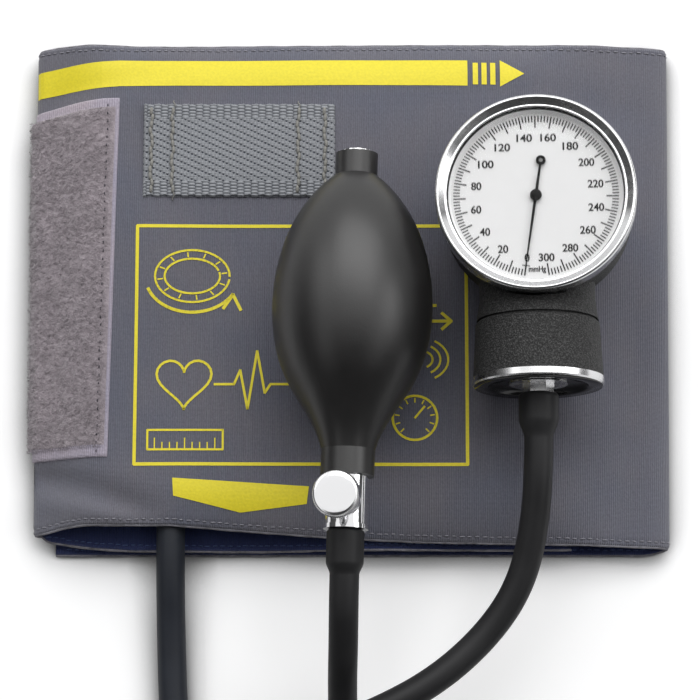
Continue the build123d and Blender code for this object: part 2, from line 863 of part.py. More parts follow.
save(sector_gear, "sector_gear")

arm_bottom = bottom_plate_z - 4.9
arm_wall = 2.6
shaft_top = top_plate_z + plate_wall + 0.1
with BuildPart() as sector_shaft:
    rod(gauge_section(shaft_x, shaft_y), shaft_radius, arm_bottom - 0.3, shaft_top)
save(sector_shaft, "sector_shaft")

with BuildPart() as rocker_arm:
    with BuildSketch(gauge_plane(shaft_x, shaft_y, arm_bottom)):
        Circle(shaft_radius + 0.9)
        with BuildLine():
            tilt_down = radians(-sector_sweep / 2)
            tip = arm_radius + 1.6
            bar = [(0, 0), (tip, 0), (tip, 1.0), (0, 1.5)]
            Polyline(
                *[
                    (x * cos(tilt_down) - y * sin(tilt_down), x * sin(tilt_down) + y * cos(tilt_down))
                    for x, y in bar
                ],
                close=True,
            )
        make_face()
        Circle(shaft_radius, mode=Mode.SUBTRACT)
    extrude(amount=arm_wall)
save(rocker_arm, "rocker_arm")

pinion_bottom = sector_z - 0.2
pinion_wall = sector_wall + 0.5
with BuildPart() as pinion_arbor:
    rod(dial_section, arbor_radius, bottom_plate_z - 0.3, pointer_z + pointer_wall)
    with BuildSketch(gauge_plane(z=pinion_bottom)):
        Circle(pinion_radius - tooth_foot)
        for count in range(pinion_teeth):
            with BuildLine():
                angle = mesh_angle + 180 + count * 360 / pinion_teeth
                Polyline(*tooth(pinion_radius, angle, 0.19, 0.09), close=True)
            make_face()
    extrude(amount=pinion_wall)
save(pinion_arbor, "pinion_arbor")

spring_z = bottom_plate_z + plate_wall + 0.4
with BuildPart() as hairspring:
    with BuildSketch(gauge_plane(z=spring_z)):
        with BuildLine():
            edges = []
            for offset_side in (-spring_band / 2, spring_band / 2):
                x = spring_start + offset_side
                for half in range(2 * spring_turns):
                    direction = 1 if half % 2 == 0 else -1
                    span = spring_start + offset_side + spring_pitch * half / 2
                    grown = span + spring_pitch / 2
                    centre = x - direction * span
                    radius = (span + grown) / 2
                    end = x - direction * 2 * radius
                    ThreePointArc((x, 0), ((x + end) / 2, direction * radius), (end, 0))
                    x = end
                edges.append((spring_start + offset_side, x))
            Line((edges[0][0], 0), (edges[1][0], 0))
            Line((edges[0][1], 0), (edges[1][1], 0))
        make_face()
    extrude(amount=spring_height)
    ring(dial_section, arbor_radius, spring_start, spring_z, spring_z + spring_height)
save(hairspring, "hairspring")

with BuildPart() as dial_plate:
    ring(dial_section, arbor_radius + 0.6, dial_radius, -dial_thickness, 0)
save(dial_plate, "dial_plate")

spacer_inner = dial_radius - 1.2
with BuildPart() as dial_spacer_ring:
    turn(
        dial_section,
        (spacer_inner, 0),
        (dial_radius, 0),
        (dial_radius, lens_bottom - 0.5),
        (dial_radius - 0.4, lens_bottom - 0.5),
    )
save(dial_spacer_ring, "dial_spacer_ring")

with BuildPart() as lens_gasket:
    ring(dial_section, dial_radius - 0.6, dial_radius, lens_bottom - 0.5, lens_bottom)
save(lens_gasket, "lens_gasket")

lens_radius = spigot_radius
lens_top = lens_bottom + lens_thickness
with BuildPart() as gauge_lens:
    rod(dial_section, lens_radius, lens_bottom, lens_top)
save(gauge_lens, "gauge_lens")

lip_top = lens_top + lip_thickness
with BuildPart() as gauge_bezel:
    turn(
        dial_section,
        (case_radius + bezel_fit, bezel_back),
        (bezel_radius - 0.2, bezel_back),
        (bezel_radius, bezel_back + 0.3),
        (bezel_radius, bezel_front - 1.0),
        (bezel_radius - 0.25, bezel_front - 0.3),
        (bezel_radius - 0.75, bezel_front),
        (bezel_radius - rim_width + 0.25, bezel_front),
        (bezel_radius - rim_width, bezel_front - 0.3),
        (aperture_radius + 0.5, lip_top + 0.1),
        (aperture_radius, lip_top),
        (aperture_radius, lens_top),
        (lens_radius, lens_top),
        (lens_radius, bezel_back + 0.4),
        (case_radius + bezel_fit, bezel_back + 0.2),
    )
save(gauge_bezel, "gauge_bezel")

# The pointer rests on the scale's zero, a little clockwise of straight down
rest = radians(270 - zero_angle)
needle = [(-pointer_tail + 1.2, 0.28), (0, 0.42), (pointer_length, 0.12)]
needle += [(x, -y) for x, y in reversed(needle)]
with BuildPart() as pointer:
    with BuildSketch(gauge_plane(z=pointer_z)):
        with BuildLine():
            Polyline(
                *[(x * cos(rest) - y * sin(rest), x * sin(rest) + y * cos(rest)) for x, y in needle],
                close=True,
            )
        make_face()
        Circle(hub_radius)
        with Locations((-pointer_tail * cos(rest), -pointer_tail * sin(rest))):
            Circle(1.33)
            Circle(0.55, mode=Mode.SUBTRACT)
        Circle(arbor_radius, mode=Mode.SUBTRACT)
    extrude(amount=pointer_wall)
    turn(
        dial_section,
        (0, pointer_z + pointer_wall),
        (hub_radius, pointer_z + pointer_wall),
        (hub_radius - 0.3, pointer_z + pointer_wall + 0.5),
        (0, pointer_z + pointer_wall + 0.7),
    )
save(pointer, "pointer")

clip_plate_z = case_back - clip_gap
clip_inner = Plane(origin=gauge.origin, x_dir=gauge.y_dir, z_dir=gauge.x_dir)
with BuildPart() as gauge_clip:
    with BuildSketch(clip_inner.offset(-clip_width / 2)):
        with BuildLine():
            Polyline(
                (clip_foot, case_back),
                (clip_top - 2.6, case_back),
                (clip_top, case_back - 1.6),
                (clip_top, clip_plate_z - clip_wall + 1.4),
                (clip_top - 2.0, clip_plate_z - clip_wall),
                (clip_bottom + 2.5, clip_plate_z - clip_wall),
                (clip_bottom, clip_plate_z - clip_wall + 1.2),
                (clip_bottom, clip_plate_z + 1.4),
                (clip_bottom + 2.0, clip_plate_z),
                (clip_top - 2.6, clip_plate_z),
                (clip_top - clip_wall, clip_plate_z + 1.0),
                (clip_top - clip_wall, case_back - clip_wall - 0.9),
                (clip_top - 3.2, case_back - clip_wall),
                (clip_foot, case_back - clip_wall),
                close=True,
            )
        make_face()
    extrude(amount=clip_width)
save(gauge_clip, "gauge_clip")

clip_screw_y = (clip_foot + clip_top - 3.2) / 2
with BuildPart() as clip_screws:
    for x in (-clip_width / 4, clip_width / 4):
        turn(
            gauge_section(x, clip_screw_y),
            (0, case_back - clip_wall),
            (1.5, case_back - clip_wall),
            (1.2, case_back - clip_wall - 0.8),
            (0, case_back - clip_wall - 0.9),
        )
save(clip_screws, "clip_screws")

# Hose routes, from the object to the connector; the middle points are chosen by hand
connector_x = -43.5
connector_y = -179.8
arm_angle = 20.0
arm_body = 14.0
stem_body = 10.0
connector_radius = 4.5
connector_bore = 1.9
connector_barb = 2.6
connector_waist = 2.2
hose_wall = 2.0
taper_root = 0.4
least_swell = 0.5
last_run = 18.0
end_length = 8.0
end_taper = 3.0


def connector_end(angle, reach):
    """Return a plane at one end of the connector's body, with its Y axis pointing out of it."""
    turned = radians(angle)
    out = Vector(sin(turned), cos(turned), 0)
    centre = Vector(connector_x, connector_y, connector_z)
    return Plane(origin=centre + out * reach, x_dir=(cos(turned), -sin(turned), 0), z_dir=(0, 0, 1))


stem_end = connector_end(0, stem_body)
left_end = connector_end(180 + arm_angle, arm_body)
right_end = connector_end(180 - arm_angle, arm_body)


def point(vector):
    """Return a vector's coordinates as a route point."""
    return (vector.X, vector.Y, vector.Z)


def ahead(plane, distance):
    """Return the route point that lies a distance along a plane's Y axis."""
    return point(plane.origin + plane.y_dir * distance)


valve_end = Plane(bulb_plane.from_local_coords((0, barrel_end, 0)), -bulb_x_dir, (0, 0, 1))
nipple_end = Plane(neck_section.from_local_coords((0, nut_top, 0)), -gauge.x_dir, gauge.z_dir)
port_end = Plane(origin=(port_x, port_y - 1.0, port_z), x_dir=(-1, 0, 0), z_dir=(0, 0, 1))

cuff_route = [
    ahead(port_end, 0),
    ahead(port_end, 17.0),
    (-49.4, -97.0, 5.2),
    (-48.6, -118.0, hose_floor),
    (-46.4, -136.0, hose_floor),
    ahead(stem_end, last_run),
    ahead(stem_end, 0),
]
gauge_route = [
    ahead(nipple_end, 0),
    ahead(nipple_end, last_run),
    (50.6, -70.0, 30.0),
    (46.6, -85.5, 25.5),
    (37.5, -98.5, 23.0),
    (24.0, -110.5, 24.0),
    (7.5, -119.5, 26.2),
    (-10.5, -126.0, 26.0),
    (-29.0, -131.0, 21.8),
    (-48.0, -136.0, 18.2),
    (-68.0, -142.0, 15.4),
    (-89.0, -148.5, 9.0),
    (-108.0, -156.0, 4.8),
    (-124.5, -165.0, hose_floor),
    (-135.5, -179.0, hose_floor),
    (-139.8, -196.0, hose_floor),
    (-136.5, -213.5, hose_floor),
    (-126.8, -228.5, hose_floor),
    (-112.6, -238.5, hose_floor),
    (-95.5, -241.8, hose_floor),
    (-78.5, -238.3, hose_floor),
    (-63.5, -228.0, 4.3),
    ahead(left_end, last_run),
    ahead(left_end, 0),
]
bulb_route = [
    ahead(valve_end, 0),
    ahead(valve_end, 16.0),
    (-1.4, -101.5, 33.0),
    (-1.7, -112.0, 21.4),
    (-1.4, -123.0, 11.4),
    (1.5, -137.0, 5.4),
    (9.5, -148.5, 4.2),
    (22.5, -158.0, hose_floor),
    (37.5, -166.0, hose_floor),
    (49.5, -178.5, hose_floor),
    (54.0, -194.5, hose_floor),
    (51.0, -211.5, hose_floor),
    (41.3, -226.5, hose_floor),
    (26.5, -236.5, hose_floor),
    (9.0, -240.0, hose_floor),
    (-8.7, -236.5, hose_floor),
    (-24.0, -226.0, 4.3),
    ahead(right_end, last_run),
    ahead(right_end, 0),
]


def corner_radii(route):
    """Return the arc at each corner of a route: as large as its two runs allow."""
    runs = [Vector(b) - Vector(a) for a, b in zip(route, route[1:])]
    radii = []
    for before, after in zip(runs, runs[1:]):
        half = radians(before.get_angle(after) / 2)
        radii.append(0.45 * min(before.length, after.length) / tan(half))
    return radii


def hose(name, route, start, start_radius, end):
    """Make a hose along its route, stretched over a barb at each end."""
    radii = corner_radii(route)
    with BuildLine() as path:
        FilletPolyline(*route, radius=radii)
    line = path.wires()[0]
    with BuildPart() as tube:
        with BuildSketch(Plane(origin=route[0], z_dir=Vector(route[1]) - Vector(route[0]))):
            Circle(hose_radius)
        sweep(path=line)
        for plane, barb_size in ((start, start_radius), (end, connector_barb)):
            swollen = barb_size + hose_wall
            if swollen > hose_radius + least_swell:
                turn(
                    plane,
                    (0, 0),
                    (swollen - 0.3, 0),
                    (swollen, 0.4),
                    (swollen, end_length),
                    (hose_radius - taper_root, end_length + end_taper),
                    (0, end_length + end_taper),
                )
            rod(plane, barb_size, 0, barb_length, mode=Mode.SUBTRACT)
    save(tube, name)
    runs = [(Vector(b) - Vector(a)).length for a, b in zip(route, route[1:])]
    print(name, "length", round(line.length, 1), "least radius", round(min(radii), 1))
    print("  runs", [round(run) for run in runs])
    print("  radii", [round(radius) for radius in radii])
    section = pi * hose_radius**2
    print("  volume", round(tube.part.volume), "section times length", round(section * line.length))


hose("cuff_hose", cuff_route, port_end, port_radius, stem_end)
hose("gauge_hose", gauge_route, nipple_end, nipple_barb, left_end)
hose("bulb_hose", bulb_route, valve_end, barb_radius, right_end)

with BuildPart() as hose_connector:
    connector_arms = ((stem_end, stem_body), (left_end, arm_body), (right_end, arm_body))
    for plane, body in connector_arms:
        rod(plane, connector_radius, -body, 0)
        barb(plane, 0, barb_length, connector_waist, connector_barb)
    for plane, body in connector_arms:
        rod(plane, connector_bore, -body, barb_length, mode=Mode.SUBTRACT)
save(hose_connector, "hose_connector")
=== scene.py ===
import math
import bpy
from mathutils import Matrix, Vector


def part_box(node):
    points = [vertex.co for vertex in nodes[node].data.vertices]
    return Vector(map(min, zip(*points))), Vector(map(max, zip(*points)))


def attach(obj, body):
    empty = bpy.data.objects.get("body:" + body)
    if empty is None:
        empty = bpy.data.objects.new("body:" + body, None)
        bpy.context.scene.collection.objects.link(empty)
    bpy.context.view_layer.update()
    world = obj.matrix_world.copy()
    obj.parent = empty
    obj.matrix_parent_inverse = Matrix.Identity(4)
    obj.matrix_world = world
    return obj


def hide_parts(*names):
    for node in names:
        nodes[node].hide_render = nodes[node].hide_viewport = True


bl_info = {
    "name": "Aneroid Sphygmomanometer",
    "version": (1, 0, 0),
    "blender": (4, 5, 0),
    "location": "3D View > Sidebar > Sphygmomanometer",
    "description": "Dresses the packed sphygmomanometer: cuff, hoses, bulb, valve, gauge and stage",
    "category": "Add Mesh",
}

import bmesh
import bpy
import numpy as np
from bpy.props import FloatProperty, FloatVectorProperty, IntProperty, PointerProperty
from mathutils import Matrix, Vector

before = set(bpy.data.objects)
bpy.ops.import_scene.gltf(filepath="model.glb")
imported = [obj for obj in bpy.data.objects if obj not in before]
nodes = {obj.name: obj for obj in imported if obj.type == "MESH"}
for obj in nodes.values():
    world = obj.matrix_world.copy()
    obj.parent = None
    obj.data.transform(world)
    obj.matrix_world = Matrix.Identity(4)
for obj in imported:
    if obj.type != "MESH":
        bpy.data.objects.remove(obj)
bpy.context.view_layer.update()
MAIN_BODY = "set"

# Shared helpers


def material(name, colour, roughness, metallic=0.0):
    """Make a node material with its Principled shader's plain values set; return the material and shader."""
    made = bpy.data.materials.new(name)
    made.use_nodes = True
    shader = made.node_tree.nodes["Principled BSDF"]
    shader.inputs["Base Color"].default_value = (*colour, 1.0)
    shader.inputs["Roughness"].default_value = roughness
    shader.inputs["Metallic"].default_value = metallic
    return made, shader


def add_node(made, kind, **values):
    """Add a shader node and set its attributes and its inputs by name."""
    node = made.node_tree.nodes.new(kind)
    for name, value in values.items():
        if hasattr(node, name):
            setattr(node, name, value)
        else:
            node.inputs[name.replace("_", " ")].default_value = value
    return node


def link(made, source, target):
    made.node_tree.links.new(source, target)


def position(made, uv=False):
    """Return the socket that gives a point's place on the piece, in metres."""
    return add_node(made, "ShaderNodeTexCoord").outputs["UV" if uv else "Object"]


def noise(made, scale, detail=3.0, roughness=0.5, uv=False):
    node = add_node(made, "ShaderNodeTexNoise", Scale=scale, Detail=detail, Roughness=roughness)
    link(made, position(made, uv), node.inputs["Vector"])
    return node.outputs["Fac"]


def ramp(made, source, stops):
    """Map a 0 to 1 value to colours or greys at the given places."""
    node = add_node(made, "ShaderNodeValToRGB")
    elements = node.color_ramp.elements
    while len(elements) < len(stops):
        elements.new(0.5)
    for element, (place, colour) in zip(elements, stops):
        element.position = place
        element.color = (*colour, 1.0) if len(colour) == 3 else colour
    link(made, source, node.inputs["Fac"])
    return node.outputs["Color"]


def grey(value):
    return (value, value, value)


def bump(made, shader, height, distance, strength=1.0, before=None):
    node = add_node(made, "ShaderNodeBump", Strength=strength, Distance=distance)
    link(made, height, node.inputs["Height"])
    if before is not None:
        link(made, before, node.inputs["Normal"])
    link(made, node.outputs["Normal"], shader.inputs["Normal"])
    return node.outputs["Normal"]


def scaled(colour, factor, more=0.0):
    """A colour made lighter or darker by a factor, with a little added to each part."""
    return [c * factor + more for c in colour]


def vary(made, shader, source, low, high, target="Base Color"):
    """Let one of a shader's inputs follow a 0 to 1 value, between two (place, colour) stops."""
    link(made, ramp(made, source, [low, high]), shader.inputs[target])


def multiplied(made, first, second):
    """Return the socket of two colours' product."""
    node = add_node(made, "ShaderNodeMixRGB", blend_type="MULTIPLY", Fac=1.0)
    link(made, first, node.inputs["Color1"])
    link(made, second, node.inputs["Color2"])
    return node.outputs["Color"]


def add_object(name, data):
    made = bpy.data.objects.new(name, data)
    bpy.context.scene.collection.objects.link(made)
    return made


def mesh_piece(name, vertices, faces, materials, smooth=True, indices=None):
    """Make a mesh object in the row frame from vertices and faces."""
    mesh = bpy.data.meshes.new(name)
    mesh.from_pydata([tuple(v) for v in vertices], [], faces)
    for made in materials:
        mesh.materials.append(made)
    if indices is not None:
        mesh.polygons.foreach_set("material_index", indices)
    mesh.polygons.foreach_set("use_smooth", [smooth] * len(mesh.polygons))
    mesh.validate()
    mesh.update()
    return add_object(name, mesh)


def worked_piece(name, work, made):
    """Turn a finished bmesh into a mesh object."""
    mesh = bpy.data.meshes.new(name)
    work.to_mesh(mesh)
    work.free()
    mesh.materials.append(made)
    return add_object(name, mesh)


def add_uvs(piece, name, places):
    """Keep each vertex's place on its sheet, in metres, as the piece's UV map."""
    layer = piece.data.uv_layers.new(name=name)
    loops = np.zeros(len(piece.data.loops), int)
    piece.data.loops.foreach_get("vertex_index", loops)
    layer.data.foreach_set("uv", np.array(places)[loops].ravel())


def dress(made, *names):
    """Give CAD nodes their finished material."""
    for name in names:
        node = nodes[name]
        node.data.materials.clear()
        node.data.materials.append(made)
        for polygon in node.data.polygons:
            polygon.material_index = 0


def grid_faces(rows, columns, start=0, flip=False, closed=False):
    """Quads of a grid whose vertices run column by column within each row."""
    faces = []
    last = columns if closed else columns - 1
    for i in range(rows - 1):
        for j in range(last):
            a = start + i * columns + j
            b = start + i * columns + (j + 1) % columns
            quad = (a, b, b + columns, a + columns)
            faces.append(quad[::-1] if flip else quad)
    return faces


def spun(name, place, profile, made, segments=128, body=MAIN_BODY, ripple=None):
    """Turn a profile of (radius, height) pairs about a place's Z axis into a mesh piece."""
    vertices = []
    for row, (radius, height) in enumerate(profile):
        for k in range(segments):
            angle = 2 * math.pi * k / segments
            r = radius if ripple is None else radius + ripple(row, angle)
            vertices.append(place @ Vector((r * math.cos(angle), r * math.sin(angle), height)))
    faces = grid_faces(len(profile), segments, closed=True)
    piece = mesh_piece(name, vertices, faces, [made])
    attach(piece, body)
    return piece


def axis_place(origin, direction, across=(1, 0, 0)):
    """A matrix whose Z axis lies along a direction from an origin."""
    z = Vector(direction).normalized()
    x = (Vector(across) - z * Vector(across).dot(z)).normalized()
    y = z.cross(x)
    place = Matrix((x, y, z)).transposed().to_4x4()
    place.translation = Vector(origin)
    return place


def circle(place, radius, sides):
    """Points round a place's Z axis."""
    angles = [2 * math.pi * side / sides for side in range(sides)]
    return [place @ Vector((radius * math.cos(a), radius * math.sin(a), 0)) for a in angles]


def running_length(points):
    """The length along a line of points, from its start to each of them."""
    return np.concatenate([[0], np.cumsum(np.linalg.norm(np.diff(points, axis=0), axis=1))])


def smoothstep(low, high, value):
    share = np.clip((value - low) / (high - low), 0, 1)
    return share * share * (3 - 2 * share)


# The rolled strip's surface

CUFF_WIDTH = 0.143
LAYER_WALL = 0.0017
TOP_THICKNESS = 0.0068
STRIP_STEP = 0.0015

# The long edges: how thick the sewn hem is, how far in the padded top thins down to it, and its seam
HEM = 0.0017
HEM_REACH = 0.012
SEAM_INSET = 0.0015
SEAM_DIP = 0.00017
SEAM_WIDTH = 0.0005

# The outer fabric's line across the roll, as (x, z), from the hidden inner end round to the strip's end
STRIP_LINE = [
    (0.062, 0.0041),
    (0.02, 0.0041),
    (-0.03, 0.0041),
    (-0.07, 0.0041),
    (-0.0840, 0.0041),
    (-0.0884, 0.0045),
    (-0.0900, 0.0062),
    (-0.0887, 0.0083),
    (-0.0852, 0.0101),
    (-0.0812, 0.0123),
    (-0.0776, 0.0142),
    (-0.0732, 0.0160),
    (-0.0675, 0.0170),
    (-0.05, 0.0170),
    (-0.02, 0.0170),
    (0.01, 0.0170),
    (0.03, 0.0170),
    (0.045, 0.0167),
    (0.057, 0.0156),
    (0.068, 0.0129),
    (0.077, 0.0100),
    (0.0843, 0.0084),
    (0.0888, 0.0057),
    (0.0882, 0.0021),
    (0.0845, 0.0006),
    (0.078, 0.0004),
    (0.05, 0.0004),
    (0.0, 0.0004),
    (-0.05, 0.0004),
    (-0.084, 0.0004),
]

# Soft valleys (below zero) and swells of the top layer: from (x, y), to (x, y), width and depth
DRAPES = [
    (-0.092, -0.0515, -0.055, -0.0625, 0.0036, -0.0026),
    (-0.088, -0.0590, -0.060, -0.0655, 0.0032, 0.0009),
    (-0.089, 0.0560, -0.050, 0.0640, 0.0040, -0.0006),
    (0.036, -0.055, 0.085, -0.040, 0.0060, -0.0005),
    (0.030, 0.060, 0.086, 0.052, 0.0060, -0.0005),
    (0.084, 0.070, 0.080, -0.060, 0.0050, -0.0005),
    (-0.064, 0.050, -0.063, -0.045, 0.0035, -0.0005),
]


def between(p0, p1, p2, p3, t):
    """A point of the smooth curve through four points, from the second at t = 0 to the third at t = 1."""
    bend = (2 * p0 - 5 * p1 + 4 * p2 - p3) * t * t
    return 0.5 * (2 * p1 + (p2 - p0) * t + bend + (3 * p1 - 3 * p2 + p3 - p0) * t**3)


def curve_samples(points, step):
    """Even samples along a smooth curve through points, and how far along each of them lies."""
    points = np.array(points, float)
    padded = np.vstack([2 * points[0] - points[1], points, 2 * points[-1] - points[-2]])
    dense = []
    for k in range(1, len(padded) - 2):
        dense += [between(*padded[k - 1 : k + 3], t) for t in np.linspace(0, 1, 24, endpoint=False)]
    dense.append(points[-1])
    dense = np.array(dense)
    lengths = running_length(dense)
    count = max(2, round(lengths[-1] / step))
    along = np.linspace(0, lengths[-1], count + 1)
    return along, np.stack([np.interp(along, lengths, dense[:, k]) for k in range(dense.shape[1])], axis=1)


class Strip:
    """The cuff's strip as a surface: s runs along the roll, y across it, both in metres."""

    def __init__(self):
        self.s, self.line = curve_samples(STRIP_LINE, STRIP_STEP)
        slope = np.gradient(self.line, self.s, axis=0)
        slope /= np.linalg.norm(slope, axis=1)[:, None]
        # The lining side is to the right of the way the line runs
        self.inward = np.stack([slope[:, 1], -slope[:, 0]], axis=1)
        x = self.line[:, 0]
        self.tip = self.s[np.argmin(x)]
        self.turn = self.s[np.argmax(x)]
        self.top = (self.s > self.tip) & (self.s < self.turn)
        padded = smoothstep(-0.079, -0.060, x) * (1 - smoothstep(0.050, 0.074, x))
        self.thickness = LAYER_WALL + np.where(self.top, padded, 0) * (TOP_THICKNESS - LAYER_WALL)
        self.front, self.back = self.edges(x)
        self.right_pull = smoothstep(0.052, 0.088, x)
        self.left_pull = 0.0017 * (1 - smoothstep(-0.088, -0.066, x))

    def edges(self, x):
        """Where the strip's two long edges lie across the table, for each sample."""
        under_x = [-0.088, -0.086, -0.079, -0.072, -0.060]
        under_y = [-0.0688, -0.0703, -0.0713, -0.0721, -0.0729]
        top_x = [-0.088, -0.082, -0.075, -0.050, -0.005, 0.022, 0.075, 0.088]
        top_y = [-0.0686, -0.0675, -0.0668, -0.0668, -0.0700, -0.0712, -0.0720, -0.0722]
        lower_front = np.where(self.s <= self.tip, np.interp(x, under_x, under_y), -0.0736)
        turned = smoothstep(self.turn, self.turn + 0.01, self.s)
        lower_front = np.where(self.s > self.tip, -0.0722 - 0.0014 * turned, lower_front)
        top_front = np.interp(x, top_x, top_y)
        front = np.where(self.top, top_front, lower_front)
        back_x = [-0.090, -0.084, -0.078, -0.070, -0.014, 0.050, 0.072, 0.088]
        back_y = [0.0722, 0.0724, 0.0721, 0.0719, 0.0721, 0.0724, 0.0727, 0.0731]
        return front, np.interp(x, back_x, back_y)

    def pull(self, i, y):
        """The roll isn't quite square: how far its right end is drawn out, and its left end in."""
        back_share = (y + CUFF_WIDTH / 2) / CUFF_WIDTH
        return self.right_pull[i] * (0.0010 + 0.0023 * back_share) + self.left_pull[i] * (1 - back_share)

    def lift(self, i, y):
        """How far a point moves up or down from the plain roll: slack in the front edges, and wrinkles."""
        x = self.line[i, 0]
        front = max(y - self.front[i], 0)
        slack = 0.0
        if self.top[i]:
            # The front edge stands up over the cuff's hose and sags towards the gauge's side
            near = math.exp(-front / 0.009)
            slack += 0.0021 * near * math.exp(-(((x + 0.051) / 0.017) ** 2))
            slack -= 0.0012 * near * float(smoothstep(-0.02, 0.03, x)) * float(1 - smoothstep(0.07, 0.085, x))
            slack += self.drape(x, y)
        elif self.s[i] < self.tip:
            # The bottom layer's front edge rises to the right, in small waves
            near = math.exp(-front / 0.010)
            slack += 0.0034 * near * float(smoothstep(-0.025, 0.012, x))
            slack += 0.0009 * near * math.sin(x * 95 + 1.0) * float(smoothstep(-0.075, -0.03, x))
        return slack

    def drape(self, x, y):
        """The soft valleys that run in from the left fold and past the bulb and the gauge."""
        depth = 0.0
        for x0, y0, x1, y1, width, deep in DRAPES:
            along = Vector((x1 - x0, y1 - y0))
            share = ((x - x0) * along.x + (y - y0) * along.y) / along.length_squared
            off = abs((x - x0) * along.y - (y - y0) * along.x) / along.length
            ends = float(smoothstep(-0.15, 0.2, share)) * float(1 - smoothstep(0.7, 1.2, share))
            depth += deep * ends * math.exp(-((off / width) ** 2))
        return depth

    def wave(self, s, y):
        """Slow unevenness of sewn, laid fabric."""
        return 0.00020 * (
            math.sin(s * 71 + y * 33 + 0.6)
            + math.sin(s * 39 - y * 81 + 2.1)
            + 0.6 * math.sin(s * 143 + y * 118 + 4.0)
        )

    def point(self, s, y, rise=0.0, lining=False):
        """The place of a point of the strip, at a rise off the outer fabric, or on the lining."""
        last = len(self.s) - 1
        place = np.clip(s / self.s[-1] * last, 0, last - 0.000001)
        i = int(place)
        share = place - i
        a = self.sample(i, y, rise, lining)
        b = self.sample(i + 1, y, rise, lining)
        return Vector(a * (1 - share) + b * share)

    def sample(self, i, y, rise=0.0, lining=False):
        """The same at one of the line's own samples."""
        y = min(max(y, self.front[i]), self.back[i])
        edge = max(min(y - self.front[i], self.back[i] - y), 0.0)
        thickness = self.thickness[i]
        closing = 1 - math.sin(math.pi / 2 * min(edge / HEM_REACH, 1)) ** 0.8
        spare = max(thickness - HEM, 0.0)
        outer_in = 0.62 * spare * closing
        inner_in = 0.38 * spare * closing
        round_in = 0.0
        if edge < HEM / 2:
            round_in = HEM / 2 * (1 - math.sqrt(max(1 - (1 - edge / (HEM / 2)) ** 2, 0)))
        seam = SEAM_DIP * math.exp(-(((edge - SEAM_INSET) / SEAM_WIDTH) ** 2)) if edge > 0 else 0.0
        if lining:
            depth = thickness - inner_in - round_in - 0.6 * seam
        else:
            depth = outer_in + round_in + seam - rise
        x, z = self.line[i] + self.inward[i] * depth
        lift = self.lift(i, y) + (self.wave(self.s[i], y) if self.top[i] else 0)
        return np.array((x + self.pull(i, y), y, z + lift))

    def s_at(self, x):
        """Where on the roll's top layer a place x lies."""
        rows = np.where(self.top)[0]
        return float(np.interp(x, self.line[rows, 0], self.s[rows]))


strip = Strip()

# How far the strip's rows of points nearest to an edge lie from it
EDGE_ROWS = [
    0, 0.0001, 0.00025, 0.0005, 0.00085, 0.0011, 0.0013, 0.0015, 0.0017,
    0.0019, 0.0023, 0.003, 0.004, 0.0055, 0.0075, 0.01, 0.0125, 0.015,
]


def strip_mesh(name, made_outer, made_lining):
    """Both faces of the strip and its turned edges, as one closed soft mesh."""
    vertices, count, uvs = [], len(strip.s), []
    inner_shares = np.linspace(0, 1, 76)[1:-1]
    rim = EDGE_ROWS[-1]
    for lining in (False, True):
        for i in range(count):
            front, back = strip.front[i], strip.back[i]
            across = [front + e for e in EDGE_ROWS]
            across += [front + rim + share * (back - front - 2 * rim) for share in inner_shares]
            across += [back - e for e in reversed(EDGE_ROWS)]
            for y in across:
                vertices.append(strip.sample(i, y, lining=lining))
                uvs.append((strip.s[i], y))
    columns = 2 * len(EDGE_ROWS) + len(inner_shares)
    half = count * columns
    faces = grid_faces(count, columns, flip=True)
    outer_count = len(faces)
    faces += grid_faces(count, columns, start=half)
    for i in range(count - 1):
        for j in (0, columns - 1):
            a = i * columns + j
            b = a + columns
            quad = (a, b, b + half, a + half)
            faces.append(quad if j == 0 else quad[::-1])
    for i in (0, count - 1):
        for j in range(columns - 1):
            a = i * columns + j
            quad = (a, a + 1, a + 1 + half, a + half)
            faces.append(quad[::-1] if i == 0 else quad)
    indices = [0] * outer_count + [1] * (len(faces) - outer_count)
    piece = mesh_piece(name, vertices, faces, [made_outer, made_lining], indices=indices)
    add_uvs(piece, "strip", uvs)
    return piece


# Where the points of a stitch's path lie along it
STITCH_SHARES = (0, 0.2, 0.5, 0.8, 1)


def thread_stitch(path, radius, vertices, faces, sides=6):
    """Add one stitch, a short tapered thread along a few points, to a growing mesh."""
    start = len(vertices)
    points = [Vector(p) for p in path]
    for k, point in enumerate(points):
        ahead = points[min(k + 1, len(points) - 1)] - points[max(k - 1, 0)]
        place = axis_place(point, ahead, across=(0.31, 0.2, 0.93))
        share = k / (len(points) - 1)
        taper = max(math.sin(math.pi * (0.08 + 0.84 * share)) ** 0.35, 0.2)
        vertices += circle(place, radius * taper, sides)
    faces += grid_faces(len(points), sides, start=start, closed=True)
    faces.append(tuple(range(start, start + sides))[::-1])
    faces.append(tuple(range(len(vertices) - sides, len(vertices))))


